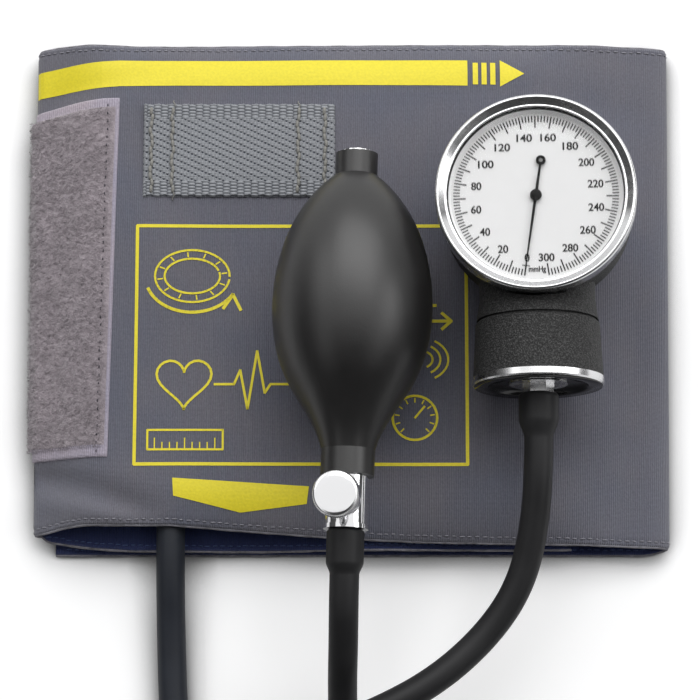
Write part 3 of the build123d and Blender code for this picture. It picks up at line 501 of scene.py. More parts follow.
def flat_patch(name, outlines, made, lift, cell=0.0012):
    """Lay flat outlines in (s, y) on the strip as a thin print that follows it."""
    work = bmesh.new()
    for outline in outlines:
        face = work.faces.new([work.verts.new((s, y, 0)) for s, y in outline])
        face.normal_update()
        if face.normal.z < 0:
            face.normal_flip()
    bmesh.ops.triangulate(work, faces=work.faces[:], ngon_method="EAR_CLIP")
    bounds = [(min(v.co[k] for v in work.verts), max(v.co[k] for v in work.verts)) for k in (0, 1)]
    for k, (low, high) in enumerate(bounds):
        normal = (1, 0, 0) if k == 0 else (0, 1, 0)
        place = low + cell
        while place < high:
            plane = (place, 0, 0) if k == 0 else (0, place, 0)
            geometry = work.verts[:] + work.edges[:] + work.faces[:]
            bmesh.ops.bisect_plane(work, geom=geometry, plane_co=plane, plane_no=normal, dist=3e-5)
            place += cell
    bmesh.ops.dissolve_degenerate(work, dist=2e-5, edges=work.edges[:])
    for v in work.verts:
        v.co = strip.point(v.co.x, v.co.y, rise=lift)
    work.normal_update()
    return worked_piece(name, work, made)


def stroke(points, width, closed=False):
    """Outlines of a drawn line of a given width through points in (s, y)."""
    points = [Vector((*p, 0)) for p in points]
    if closed:
        points.append(points[0])
    quads = []
    for a, b in zip(points, points[1:]):
        along = (b - a).normalized()
        side = Vector((-along.y, along.x, 0)) * width / 2
        reach = along * width * 0.25
        corners = (a - side - reach, b - side + reach, b + side + reach, a + side - reach)
        quads.append([(c.x, c.y) for c in corners])
    return quads


# Settings


class CuffSettings(bpy.types.PropertyGroup):
    fabric: FloatVectorProperty(
        name="Fabric", description="Colour of the woven outer fabric", subtype="COLOR", size=3,
        default=(0.134, 0.130, 0.155), min=0, max=1,
    )
    lining: FloatVectorProperty(
        name="Lining", description="Colour of the inner face", subtype="COLOR", size=3,
        default=(0.007, 0.020, 0.105), min=0, max=1,
    )
    thread: FloatVectorProperty(
        name="Thread", description="Colour of the edge stitching", subtype="COLOR", size=3,
        default=(0.29, 0.285, 0.32), min=0, max=1,
    )
    ink: FloatVectorProperty(
        name="Print", description="Colour of the printed marks", subtype="COLOR", size=3,
        default=(0.81, 0.69, 0.018), min=0, max=1,
    )
    rib_pitch: FloatProperty(
        name="Rib Pitch", description="Distance between the weave's ribs", subtype="DISTANCE", unit="LENGTH",
        default=0.00062, min=0.0002, max=0.003,
    )
    stitch_pitch: FloatProperty(
        name="Stitch Pitch", description="Distance from one edge stitch to the next", subtype="DISTANCE",
        unit="LENGTH", default=0.0021, min=0.001, max=0.01,
    )


class PadSettings(bpy.types.PropertyGroup):
    pile: FloatVectorProperty(
        name="Pile", description="Colour of the loop pad", subtype="COLOR", size=3,
        default=(0.357, 0.309, 0.337), min=0, max=1,
    )
    fibres: IntProperty(
        name="Fibres", description="How many loose loops stand on the pad", default=15000, min=100, max=60000,
    )
    webbing: FloatVectorProperty(
        name="Webbing", description="Colour of the tab's yarn", subtype="COLOR", size=3,
        default=(0.300, 0.312, 0.335), min=0, max=1,
    )
    row_pitch: FloatProperty(
        name="Row Pitch", description="Distance between the webbing's rows of yarn", subtype="DISTANCE",
        unit="LENGTH", default=0.00046, min=0.0003, max=0.003,
    )


class HoseSettings(bpy.types.PropertyGroup):
    rubber: FloatVectorProperty(
        name="Rubber", description="Colour of the hoses", subtype="COLOR", size=3,
        default=(0.019, 0.019, 0.020), min=0, max=1,
    )
    diameter: FloatProperty(
        name="Diameter", description="Outside diameter of the hoses", subtype="DISTANCE", unit="LENGTH",
        default=0.008, min=0.004, max=0.02,
    )


class BulbSettings(bpy.types.PropertyGroup):
    rubber: FloatVectorProperty(
        name="Rubber", description="Colour of the squeeze bulb", subtype="COLOR", size=3,
        default=(0.011, 0.0105, 0.0105), min=0, max=1,
    )
    knurls: IntProperty(
        name="Knurls", description="Ridges round the release knob", default=80, min=12, max=160,
    )


class GaugeSettings(bpy.types.PropertyGroup):
    paint: FloatVectorProperty(
        name="Paint", description="Colour of the case's crinkle paint", subtype="COLOR", size=3,
        default=(0.014, 0.014, 0.014), min=0, max=1,
    )
    face: FloatVectorProperty(
        name="Dial", description="Colour of the dial", subtype="COLOR", size=3,
        default=(0.66, 0.66, 0.66), min=0, max=1,
    )
    ink: FloatVectorProperty(
        name="Ink", description="Colour of the scale", subtype="COLOR", size=3,
        default=(0.008, 0.008, 0.008), min=0, max=1,
    )
    full_scale: IntProperty(
        name="Full Scale", description="Last reading on the dial, in mmHg", default=300, min=60, max=400,
    )
    label_height: FloatProperty(
        name="Label Height", description="Height of the dial's numbers", subtype="DISTANCE", unit="LENGTH",
        default=0.0021, min=0.001, max=0.005,
    )


class StageSettings(bpy.types.PropertyGroup):
    floor: FloatVectorProperty(
        name="Floor", description="Colour of the floor", subtype="COLOR", size=3,
        default=(0.90, 0.90, 0.90), min=0, max=1,
    )
    key_power: FloatProperty(
        name="Key Light", description="Power of the main softbox", subtype="POWER", unit="POWER",
        default=11.2, min=0,
    )
    camera_distance: FloatProperty(
        name="Camera Distance", description="From the camera to the point it looks at", subtype="DISTANCE",
        unit="LENGTH", default=0.78, min=0.2, max=3,
    )
    camera_elevation: FloatProperty(
        name="Camera Elevation", description="Height of the view above the table's plane", subtype="ANGLE",
        unit="ROTATION", default=math.radians(78.5), min=0, max=math.pi / 2,
    )


class SphygmomanometerSettings(bpy.types.PropertyGroup):
    cuff: PointerProperty(type=CuffSettings)
    pads: PointerProperty(type=PadSettings)
    hoses: PointerProperty(type=HoseSettings)
    bulb: PointerProperty(type=BulbSettings)
    gauge: PointerProperty(type=GaugeSettings)
    stage: PointerProperty(type=StageSettings)


def settings(context):
    return context.scene.sphygmomanometer


# Finishes


def bands(made, direction, pitch, **values):
    """Even waves by the piece's own UV, one for each pitch in metres."""
    waves = add_node(made, "ShaderNodeTexWave", wave_type="BANDS", bands_direction=direction, **values)
    waves.inputs["Scale"].default_value = math.pi / 10 / pitch
    link(made, position(made, uv=True), waves.inputs["Vector"])
    return waves.outputs["Fac"]


def woven_fabric(name, colour, rib_pitch):
    """Plain woven fabric with fine ribs across the strip, by its own UV in metres."""
    made, shader = material(name, colour, 0.86)
    shader.inputs["Sheen Weight"].default_value = 0.25
    shader.inputs["Sheen Roughness"].default_value = 0.6
    ribs = bands(made, "X", rib_pitch, Distortion=0.6, Detail=1.0, Detail_Scale=2.0)
    threads = bands(made, "Y", rib_pitch * 0.55, Distortion=0.4)
    cloud = noise(made, 42, 3, uv=True)
    fleck = noise(made, 1500, 2, uv=True)
    cool = [colour[0] * 0.86, colour[1] * 0.93, colour[2] * 1.03]
    clouded = ramp(made, cloud, [(0.32, cool), (0.68, scaled(colour, 1.06))])
    ribbed = multiplied(made, clouded, ramp(made, ribs, [(0.0, grey(0.86)), (1.0, grey(1.06))]))
    flecked = multiplied(made, ribbed, ramp(made, fleck, [(0.3, grey(0.86)), (0.7, grey(1.1))]))
    link(made, flecked, shader.inputs["Base Color"])
    first = bump(made, shader, ribs, 0.00012)
    second = bump(made, shader, threads, 0.00006, before=first)
    bump(made, shader, fleck, 0.00006, before=second)
    return made


def printed_ink(name, colour):
    """Slightly raised printing ink in which the weave still shows."""
    made, shader = material(name, colour, 0.55)
    grain = noise(made, 1400, 2)
    vary(made, shader, grain, (0.3, scaled(colour, 0.9)), (0.7, colour))
    bump(made, shader, grain, 0.00005)
    return made


def thread_finish(name, colour):
    """Twisted sewing thread, with fine random painted shade for the dark between its turns."""
    made, shader = material(name, colour, 0.7)
    vary(made, shader, noise(made, 2600, 1), (0.3, scaled(colour, 0.75)), (0.7, colour))
    return made


def hem_finish(name, colour):
    """The hem's turned edge: the thread's colour, unevenly darkened."""
    made, shader = material(name, colour, 0.85)
    wear = noise(made, 350, 4, 0.6)
    vary(made, shader, wear, (0.35, scaled(colour, 0.45)), (0.7, scaled(colour, 0.95)))
    bump(made, shader, noise(made, 2400, 2), 0.00008)
    return made


def rubber(name, colour, roughness, grain=0.00002, gloss=0.3):
    """Moulded rubber: fine grain, and slow changes of shade and gloss."""
    made, shader = material(name, colour, roughness)
    shader.inputs["Specular IOR Level"].default_value = gloss
    slow = noise(made, 55, 3)
    vary(made, shader, slow, (0.3, scaled(colour, 0.85)), (0.75, scaled(colour, 1.25, 0.002)))
    dullest = grey(min(roughness * 1.15, 1))
    vary(made, shader, slow, (0.25, grey(roughness * 0.9)), (0.8, dullest), "Roughness")
    bump(made, shader, noise(made, 2200, 2), grain)
    return made


def polished_metal(name, colour, roughness, waves=0.000004):
    """Plated or ground metal with faint smears in its gloss and slow waves in its face."""
    made, shader = material(name, colour, roughness, metallic=1.0)
    smear = noise(made, 160, 4, 0.6)
    vary(made, shader, smear, (0.3, grey(roughness * 0.7)), (0.75, grey(roughness * 1.5)), "Roughness")
    bump(made, shader, noise(made, 700, 2), waves)
    return made


def crinkle_paint(name, colour):
    """Black crinkle paint: fine wrinkled grain, painted highlights on its tops, painted shade in recesses."""
    made, shader = material(name, colour, 0.6)
    shader.inputs["Specular IOR Level"].default_value = 0.3
    grain = add_node(made, "ShaderNodeTexVoronoi", feature="SMOOTH_F1", Scale=1700.0)
    link(made, position(made), grain.inputs["Vector"])
    rough = noise(made, 2600, 3, 0.6)
    height = add_node(made, "ShaderNodeMath", operation="MULTIPLY")
    link(made, grain.outputs["Distance"], height.inputs[0])
    link(made, rough, height.inputs[1])
    # Painted highlight: the grain's raised tops are made lighter in colour
    painted_highlight_tops = ramp(made, rough, [(0.48, colour), (0.60, scaled(colour, 3.4, 0.018))])
    # Painted shade: the paint is darkened where nearby parts close it in, as under the bezel
    hidden = add_node(made, "ShaderNodeAmbientOcclusion", Distance=0.009)
    painted_recess_shade = ramp(made, hidden.outputs["AO"], [(0.30, grey(0.05)), (0.85, grey(1.0))])
    link(made, multiplied(made, painted_recess_shade, painted_highlight_tops), shader.inputs["Base Color"])
    bump(made, shader, height.outputs["Value"], 0.00055)
    return made


def plastic(name, colour, roughness, gloss=0.5):
    """Moulded plastic with small changes of gloss."""
    made, shader = material(name, colour, roughness)
    shader.inputs["Specular IOR Level"].default_value = gloss
    fine = noise(made, 900, 2)
    vary(made, shader, fine, (0.3, grey(roughness * 0.85)), (0.7, grey(roughness * 1.15)), "Roughness")
    bump(made, shader, fine, 0.00001)
    return made


def printed_dial(name, colour):
    """The dial's pale enamel, very slightly uneven."""
    made, shader = material(name, colour, 0.45)
    vary(made, shader, noise(made, 600, 2), (0.2, scaled(colour, 0.985)), (0.8, colour))
    return made


def clear_glass(name, see_through=0.85):
    """Clear lens: most of it is plain see-through and all of it for shadows, so the dial stays bright."""
    made, shader = material(name, (1.0, 1.0, 1.0), 0.0)
    shader.inputs["Transmission Weight"].default_value = 1.0
    shader.inputs["IOR"].default_value = 1.45
    bump(made, shader, noise(made, 30, 1), 0.000001)
    light = add_node(made, "ShaderNodeLightPath")
    see = add_node(made, "ShaderNodeBsdfTransparent")
    mix = add_node(made, "ShaderNodeMixShader")
    clear = add_node(made, "ShaderNodeMath", operation="MAXIMUM")
    clear.inputs[1].default_value = see_through
    link(made, light.outputs["Is Shadow Ray"], clear.inputs[0])
    link(made, clear.outputs["Value"], mix.inputs["Fac"])
    link(made, shader.outputs["BSDF"], mix.inputs[1])
    link(made, see.outputs["BSDF"], mix.inputs[2])
    link(made, mix.outputs["Shader"], made.node_tree.nodes["Material Output"].inputs["Surface"])
    return made


# Hoses

# The routes' points, in the row frame, from the object to the connector
CUFF_ROUTE = [
    (-0.0496, -0.0608, 0.0101),
    (-0.0496, -0.0778, 0.0101),
    (-0.0494, -0.097, 0.0052),
    (-0.0486, -0.118, 0.0041),
    (-0.0464, -0.136, 0.0041),
    (-0.0435, -0.1518, 0.0048),
    (-0.0435, -0.1698, 0.0048),
]
GAUGE_ROUTE = [
    (0.051878, -0.0333, 0.034234),
    (0.051878, -0.0513, 0.034234),
    (0.0506, -0.07, 0.03),
    (0.0466, -0.0855, 0.0255),
    (0.0375, -0.0985, 0.023),
    (0.024, -0.1105, 0.024),
    (0.0075, -0.1195, 0.0262),
    (-0.0105, -0.126, 0.026),
    (-0.029, -0.131, 0.0218),
    (-0.048, -0.136, 0.0182),
    (-0.068, -0.142, 0.0154),
    (-0.089, -0.1485, 0.009),
    (-0.108, -0.156, 0.0048),
    (-0.1245, -0.165, 0.0041),
    (-0.1355, -0.179, 0.0041),
    (-0.1398, -0.196, 0.0041),
    (-0.1365, -0.2135, 0.0041),
    (-0.1268, -0.2285, 0.0041),
    (-0.1126, -0.2385, 0.0041),
    (-0.0955, -0.2418, 0.0041),
    (-0.0785, -0.2383, 0.0041),
    (-0.0635, -0.228, 0.0043),
    (-0.054445, -0.20987, 0.0048),
    (-0.048288, -0.192956, 0.0048),
]
BULB_ROUTE = [
    (-0.000772, -0.071372, 0.0391),
    (-0.001247, -0.087365, 0.0391),
    (-0.0014, -0.1015, 0.033),
    (-0.0017, -0.112, 0.0214),
    (-0.0014, -0.123, 0.0114),
    (0.0015, -0.137, 0.0054),
    (0.0095, -0.1485, 0.0042),
    (0.0225, -0.158, 0.0041),
    (0.0375, -0.166, 0.0041),
    (0.0495, -0.1785, 0.0041),
    (0.054, -0.1945, 0.0041),
    (0.051, -0.2115, 0.0041),
    (0.0413, -0.2265, 0.0041),
    (0.0265, -0.2365, 0.0041),
    (0.009, -0.24, 0.0041),
    (-0.0087, -0.2365, 0.0041),
    (-0.024, -0.226, 0.0043),
    (-0.032555, -0.20987, 0.0048),
    (-0.038712, -0.192956, 0.0048),
]
# All hoses are stretched over the connector's barbs, to this many times their own radius
CONNECTOR_SWELL = 1.15
# For each hose its route, where it leaves the object and its length. Two of them are also stretched over
# a barb at their near end: the radius there, the length at that radius and where the hose is slim again
HOSES = {
    "cuff_hose": (CUFF_ROUTE, (-0.0496, -0.0715, 0.0101), 0.110, None),
    "gauge_hose": (GAUGE_ROUTE, GAUGE_ROUTE[0], 0.426, (0.0055, 0.0070, 0.0125)),
    "bulb_hose": (BULB_ROUTE, BULB_ROUTE[0], 0.299, (0.0051, 0.0088, 0.0122)),
}
# The cuff's hose is a little bluer than the other two
CUFF_HOSE_TINT = (0.7, 0.85, 1.15)


class SPHYG_OT_hoses(bpy.types.Operator):
    """Lay the three rubber hoses along their routes, with their stretched ends"""

    bl_idname = "sphyg.hoses"
    bl_label = "Hoses"

    def execute(self, context):
        chosen = settings(context).hoses
        black = rubber("hose_rubber_satin", chosen.rubber, 0.45, gloss=0.18)
        blue_black = [c * share for c, share in zip(chosen.rubber, CUFF_HOSE_TINT)]
        dusky = rubber("cuff_hose_rubber", blue_black, 0.5)
        for name, (route, leaves, length, swell) in HOSES.items():
            curve = bpy.data.curves.new(name + "_soft", "CURVE")
            curve.dimensions = "3D"
            curve.bevel_depth = chosen.diameter / 2
            curve.bevel_resolution = 8
            curve.resolution_u = 24
            curve.use_fill_caps = True
            spline = curve.splines.new("NURBS")
            spline.points.add(len(route) - 1)
            for point, place in zip(spline.points, route):
                point.co = (*place, 1.0)
            spline.order_u = 3
            spline.use_endpoint_u = True
            spline.use_smooth = True
            spline.points[-1].radius = CONNECTOR_SWELL
            curve.materials.append(dusky if name == "cuff_hose" else black)
            hose = add_object(name + "_soft", curve)
            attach(hose, MAIN_BODY)
            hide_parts(name)
            if swell is not None:
                self.stretched_end(name, curve, swell, chosen.diameter / 2, black)
        dress(polished_metal("connector_plate", (0.78, 0.78, 0.80), 0.12), "hose_connector")
        return {"FINISHED"}

    def stretched_end(self, name, curve, swell, slim, finish):
        """The hose's end where it is stretched over a barb, along the hose's own line."""
        wide, straight, until = swell
        plain = curve.copy()
        plain.bevel_depth = 0
        carrier = add_object("route_line", plain)
        bpy.context.view_layer.update()
        line = bpy.data.meshes.new_from_object(carrier)
        points = np.array([v.co[:] for v in line.vertices])
        bpy.data.objects.remove(carrier)
        lengths = running_length(points)

        def on_line(along):
            return Vector([np.interp(along, lengths, points[:, k]) for k in range(3)])

        lip = 0.0010
        rows = [0, 0.0001, 0.0003, 0.0006, lip, *np.linspace(0.0015, until + 0.0004, 40)]
        sides = 48
        vertices = []
        for along in rows:
            here = on_line(along)
            place = axis_place(here, on_line(along + 0.0006) - here, across=(0.3, 0.1, 0.95))
            round_over = 0.0009 * (1 - math.sqrt(max(0.0, 1 - (1 - min(along / lip, 1)) ** 2)))
            share = float(smoothstep(straight, until, along))
            vertices += circle(place, wide - round_over + (slim - 0.00002 - wide) * share, sides)
        faces = grid_faces(len(rows), sides, closed=True)
        faces.append(tuple(range(sides))[::-1])
        end = mesh_piece(name + "_end", vertices, faces, [finish])
        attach(end, MAIN_BODY)
        return end


# Cuff

# The prints' places on the cuff's top, in x and y
BAND_BACK = 0.0671
BAND_FRONT = 0.0594
BAND_END = 0.0340
BAND_BEND = -0.065
BAND_SKEW = 0.0019
BAR_STARTS = (0.0355, 0.0380, 0.0405)
BAR_WIDTH = 0.0015
BAR_FRONT = 0.0598
BAR_BACK = 0.0664
ARROW_START = 0.0433
ARROW_TIP = 0.0503
ARROW_HALF = 0.0040
BADGE = [(-0.0489, -0.0540), (-0.0110, -0.0563), (-0.0116, -0.0612), (-0.0300, -0.0636), (-0.0486, -0.0590)]
FRAME = [(-0.0596, -0.0501), (0.0331, -0.0501), (0.0331, 0.018), (-0.0596, 0.018)]
FRAME_WIDTH = 0.00095
PRINT_LIFT = 0.00016
# Widths of the drawing's lines
FINE = 0.0004
THIN = 0.0006
PLAIN = 0.0007
BOLD = 0.0009


class SPHYG_OT_cuff(bpy.types.Operator):
    """Build the rolled two-layer strip with its hems, slack and stitching"""

    bl_idname = "sphyg.cuff"
    bl_label = "Cuff"

    def execute(self, context):
        chosen = settings(context).cuff
        outer = woven_fabric("cuff_fabric", chosen.fabric, chosen.rib_pitch)
        lining = woven_fabric("cuff_lining_fabric", chosen.lining, chosen.rib_pitch * 0.8)
        roll = strip_mesh("cuff_roll", outer, lining)
        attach(roll, MAIN_BODY)
        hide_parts("cuff_outer_panel", "cuff_lining")
        thread = thread_finish("edge_thread", chosen.thread)
        blue_thread = thread_finish("lining_thread", (0.07, 0.11, 0.26))
        grey_rows = self.stitches("cuff_stitches", thread, chosen.stitch_pitch, False)
        blue_rows = self.stitches("lining_stitches", blue_thread, chosen.stitch_pitch, True)
        hem = self.turned_edge(hem_finish("hem_edge", chosen.thread))
        dress(rubber("bladder_rubber", (0.02, 0.02, 0.02), 0.6), "bladder")
        return {"FINISHED"}

    def turned_edge(self, finish):
        """The thin rolled edge that shows along both sides of the strip."""
        vertices, faces = [], []
        sides, high, wide = 8, 0.0005, 0.00042
        for edge, way in ((strip.front, -1), (strip.back, 1)):
            start = len(vertices)
            for i in range(len(strip.s)):
                outer = strip.sample(i, edge[i])
                inner = strip.sample(i, edge[i], lining=True)
                middle = Vector((outer + inner) / 2)
                normal = Vector((strip.inward[i][0], 0, strip.inward[i][1]))
                reach = wide + 0.00005 * math.sin(i * 0.9) + 0.00004 * math.sin(i * 0.23)
                for side in range(sides):
                    angle = 2 * math.pi * side / sides
                    out = Vector((0, way * reach * math.sin(angle), 0))
                    vertices.append(middle + normal * high * math.cos(angle) + out)
            faces += grid_faces(len(strip.s), sides, start=start, closed=True, flip=way < 0)
        piece = mesh_piece("turned_hem", vertices, faces, [finish])
        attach(piece, MAIN_BODY)
        return piece

    def stitches(self, name, thread, pitch, lining):
        """Both long edges' sewn rows, slightly uneven, on the outer fabric or on the lining."""
        vertices, faces = [], []
        rows = strip.s
        first, last = (0.0, rows[-1]) if lining else (strip.tip, rows[-1])
        for side in (0, 1):
            s = first + 0.002
            k = 0
            while s < last - 0.003:
                i = int(np.searchsorted(rows, s))
                edge = strip.front[i] + SEAM_INSET if side == 0 else strip.back[i] - SEAM_INSET
                wobble = 0.00008 * math.sin(k * 1.7) + 0.00006 * math.sin(k * 0.37 + side)
                length = pitch * (0.62 + 0.10 * math.sin(k * 2.3) + 0.05 * math.sin(k * 5.1))
                path = []
                for share in STITCH_SHARES:
                    arch = 0.00042 * math.sin(math.pi * share) ** 0.6 - 0.00002
                    rise = 0.0 if lining else arch
                    place = strip.point(s + length * share, edge + wobble, rise=rise, lining=lining)
                    if lining:
                        n = strip.inward[i]
                        place += Vector((n[0], 0, n[1])) * arch
                    path.append(place)
                thread_stitch(path, 0.00017, vertices, faces)
                s += pitch * (1 + 0.04 * math.sin(k * 0.9))
                k += 1
        piece = mesh_piece(name, vertices, faces, [thread])
        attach(piece, MAIN_BODY)
        return piece


def at(x, y):
    """A place on the cuff's top in the strip's own (s, y)."""
    return (strip.s_at(x), y)


def arc(cx, cy, rx, ry, start, end, count):
    """Points along part of an ellipse, angles in degrees."""
    angles = np.radians(np.linspace(start, end, count))
    return [(cx + rx * math.cos(a), cy + ry * math.sin(a)) for a in angles]


class SPHYG_OT_prints(bpy.types.Operator):
    """Print the plain range band, the badge and the drawing in its frame on the cuff"""

    bl_idname = "sphyg.prints"
    bl_label = "Prints"

    def execute(self, context):
        ink = printed_ink("yellow_ink", settings(context).cuff.ink)
        start = strip.tip - 0.004
        band = [(start, BAND_FRONT - BAND_SKEW), at(BAND_BEND, BAND_FRONT), at(BAND_END, BAND_FRONT)]
        band += [at(BAND_END, BAND_BACK), at(BAND_BEND, BAND_BACK), (start, BAND_BACK - BAND_SKEW)]
        marks = [band]
        for left in BAR_STARTS:
            right = left + BAR_WIDTH
            bar = [(left, BAR_FRONT), (right, BAR_FRONT), (right, BAR_BACK), (left, BAR_BACK)]
            marks.append([at(x, y) for x, y in bar])
        middle = (BAND_FRONT + BAND_BACK) / 2
        arrow = [(ARROW_START, middle - ARROW_HALF), (ARROW_TIP, middle), (ARROW_START, middle + ARROW_HALF)]
        marks.append([at(x, y) for x, y in arrow])
        self.lay("range_band", marks, ink)
        self.lay("badge_print", [[at(x, y) for x, y in BADGE]], ink)
        self.lay("frame_print", stroke([at(x, y) for x, y in FRAME], FRAME_WIDTH, closed=True), ink)
        self.lay("drawing_print", self.drawing(), ink)
        return {"FINISHED"}

    def lay(self, name, outlines, ink):
        piece = flat_patch(name, outlines, ink, PRINT_LIFT)
        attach(piece, MAIN_BODY)

    def drawing(self):
        """A plain line drawing: an open band with a turning arrow, a pulse line and small marks."""
        lines = []

        def draw(points, width=THIN, closed=False):
            lines.extend(stroke([at(x, y) for x, y in points], width, closed))

        def spoke(centre, degrees, near, far):
            """A short mark that points away from a centre, from one ellipse to another."""
            a = math.radians(degrees)
            ends = [(centre[0] + r[0] * math.cos(a), centre[1] + r[1] * math.sin(a)) for r in (near, far)]
            draw(ends, FINE)

        band = (-0.044, 0.0035)
        draw(arc(*band, 0.0105, 0.0075, 0, 352, 40))
        draw(arc(*band, 0.0078, 0.0050, 20, 372, 36))
        for k in range(12):
            spoke(band, 30 * k + 8, (0.0084, 0.0056), (0.0098, 0.0068))
        draw(arc(*band, 0.0132, 0.0104, 200, 330, 24), BOLD)
        draw([(-0.0352, -0.0058), (-0.0325, -0.0018), (-0.0303, -0.0062)], BOLD)
        heart = []
        size = 0.00048
        for t in [2 * math.pi * k / 40 for k in range(40)]:
            high = 13 * math.cos(t) - 5 * math.cos(2 * t) - 2 * math.cos(3 * t) - math.cos(4 * t)
            heart.append((-0.046 + size * 16 * math.sin(t) ** 3, -0.0265 + size * high))
        draw(heart, PLAIN, closed=True)
        pulse = [(-0.0375, -0.0275), (-0.0320, -0.0275), (-0.0303, -0.0235), (-0.0282, -0.0345)]
        pulse += [(-0.0256, -0.0180), (-0.0234, -0.0300), (-0.0218, -0.0275), (-0.0135, -0.0275)]
        draw(pulse, PLAIN)
        rule = [(-0.0560, -0.0405), (-0.0350, -0.0405), (-0.0350, -0.0460), (-0.0560, -0.0460)]
        draw(rule, closed=True)
        for k in range(9):
            x = -0.0540 + 0.0021 * k
            draw([(x, -0.0440 if k % 4 else -0.0428), (x, -0.0457)], 0.00035)
        for k in range(3):
            draw(arc(0.0205, -0.0205, 0.0030 + 0.0022 * k, 0.0024 + 0.0018 * k, -60, 60, 12))
        small_dial = (0.0185, -0.0370)
        draw(arc(*small_dial, 0.0062, 0.0062, 0, 360, 36), PLAIN)
        for k in range(11):
            spoke(small_dial, 225 - 27 * k, (0.0044, 0.0044), (0.0055, 0.0055))
        draw([small_dial, (0.0212, -0.0338)])
        draw([(0.0205, -0.0095), (0.0285, -0.0095)], BOLD)
        draw([(0.0262, -0.0072), (0.0288, -0.0095), (0.0262, -0.0118)], BOLD)
        draw([(0.0205, -0.0050), (0.0245, -0.0050)], BOLD)
        return lines


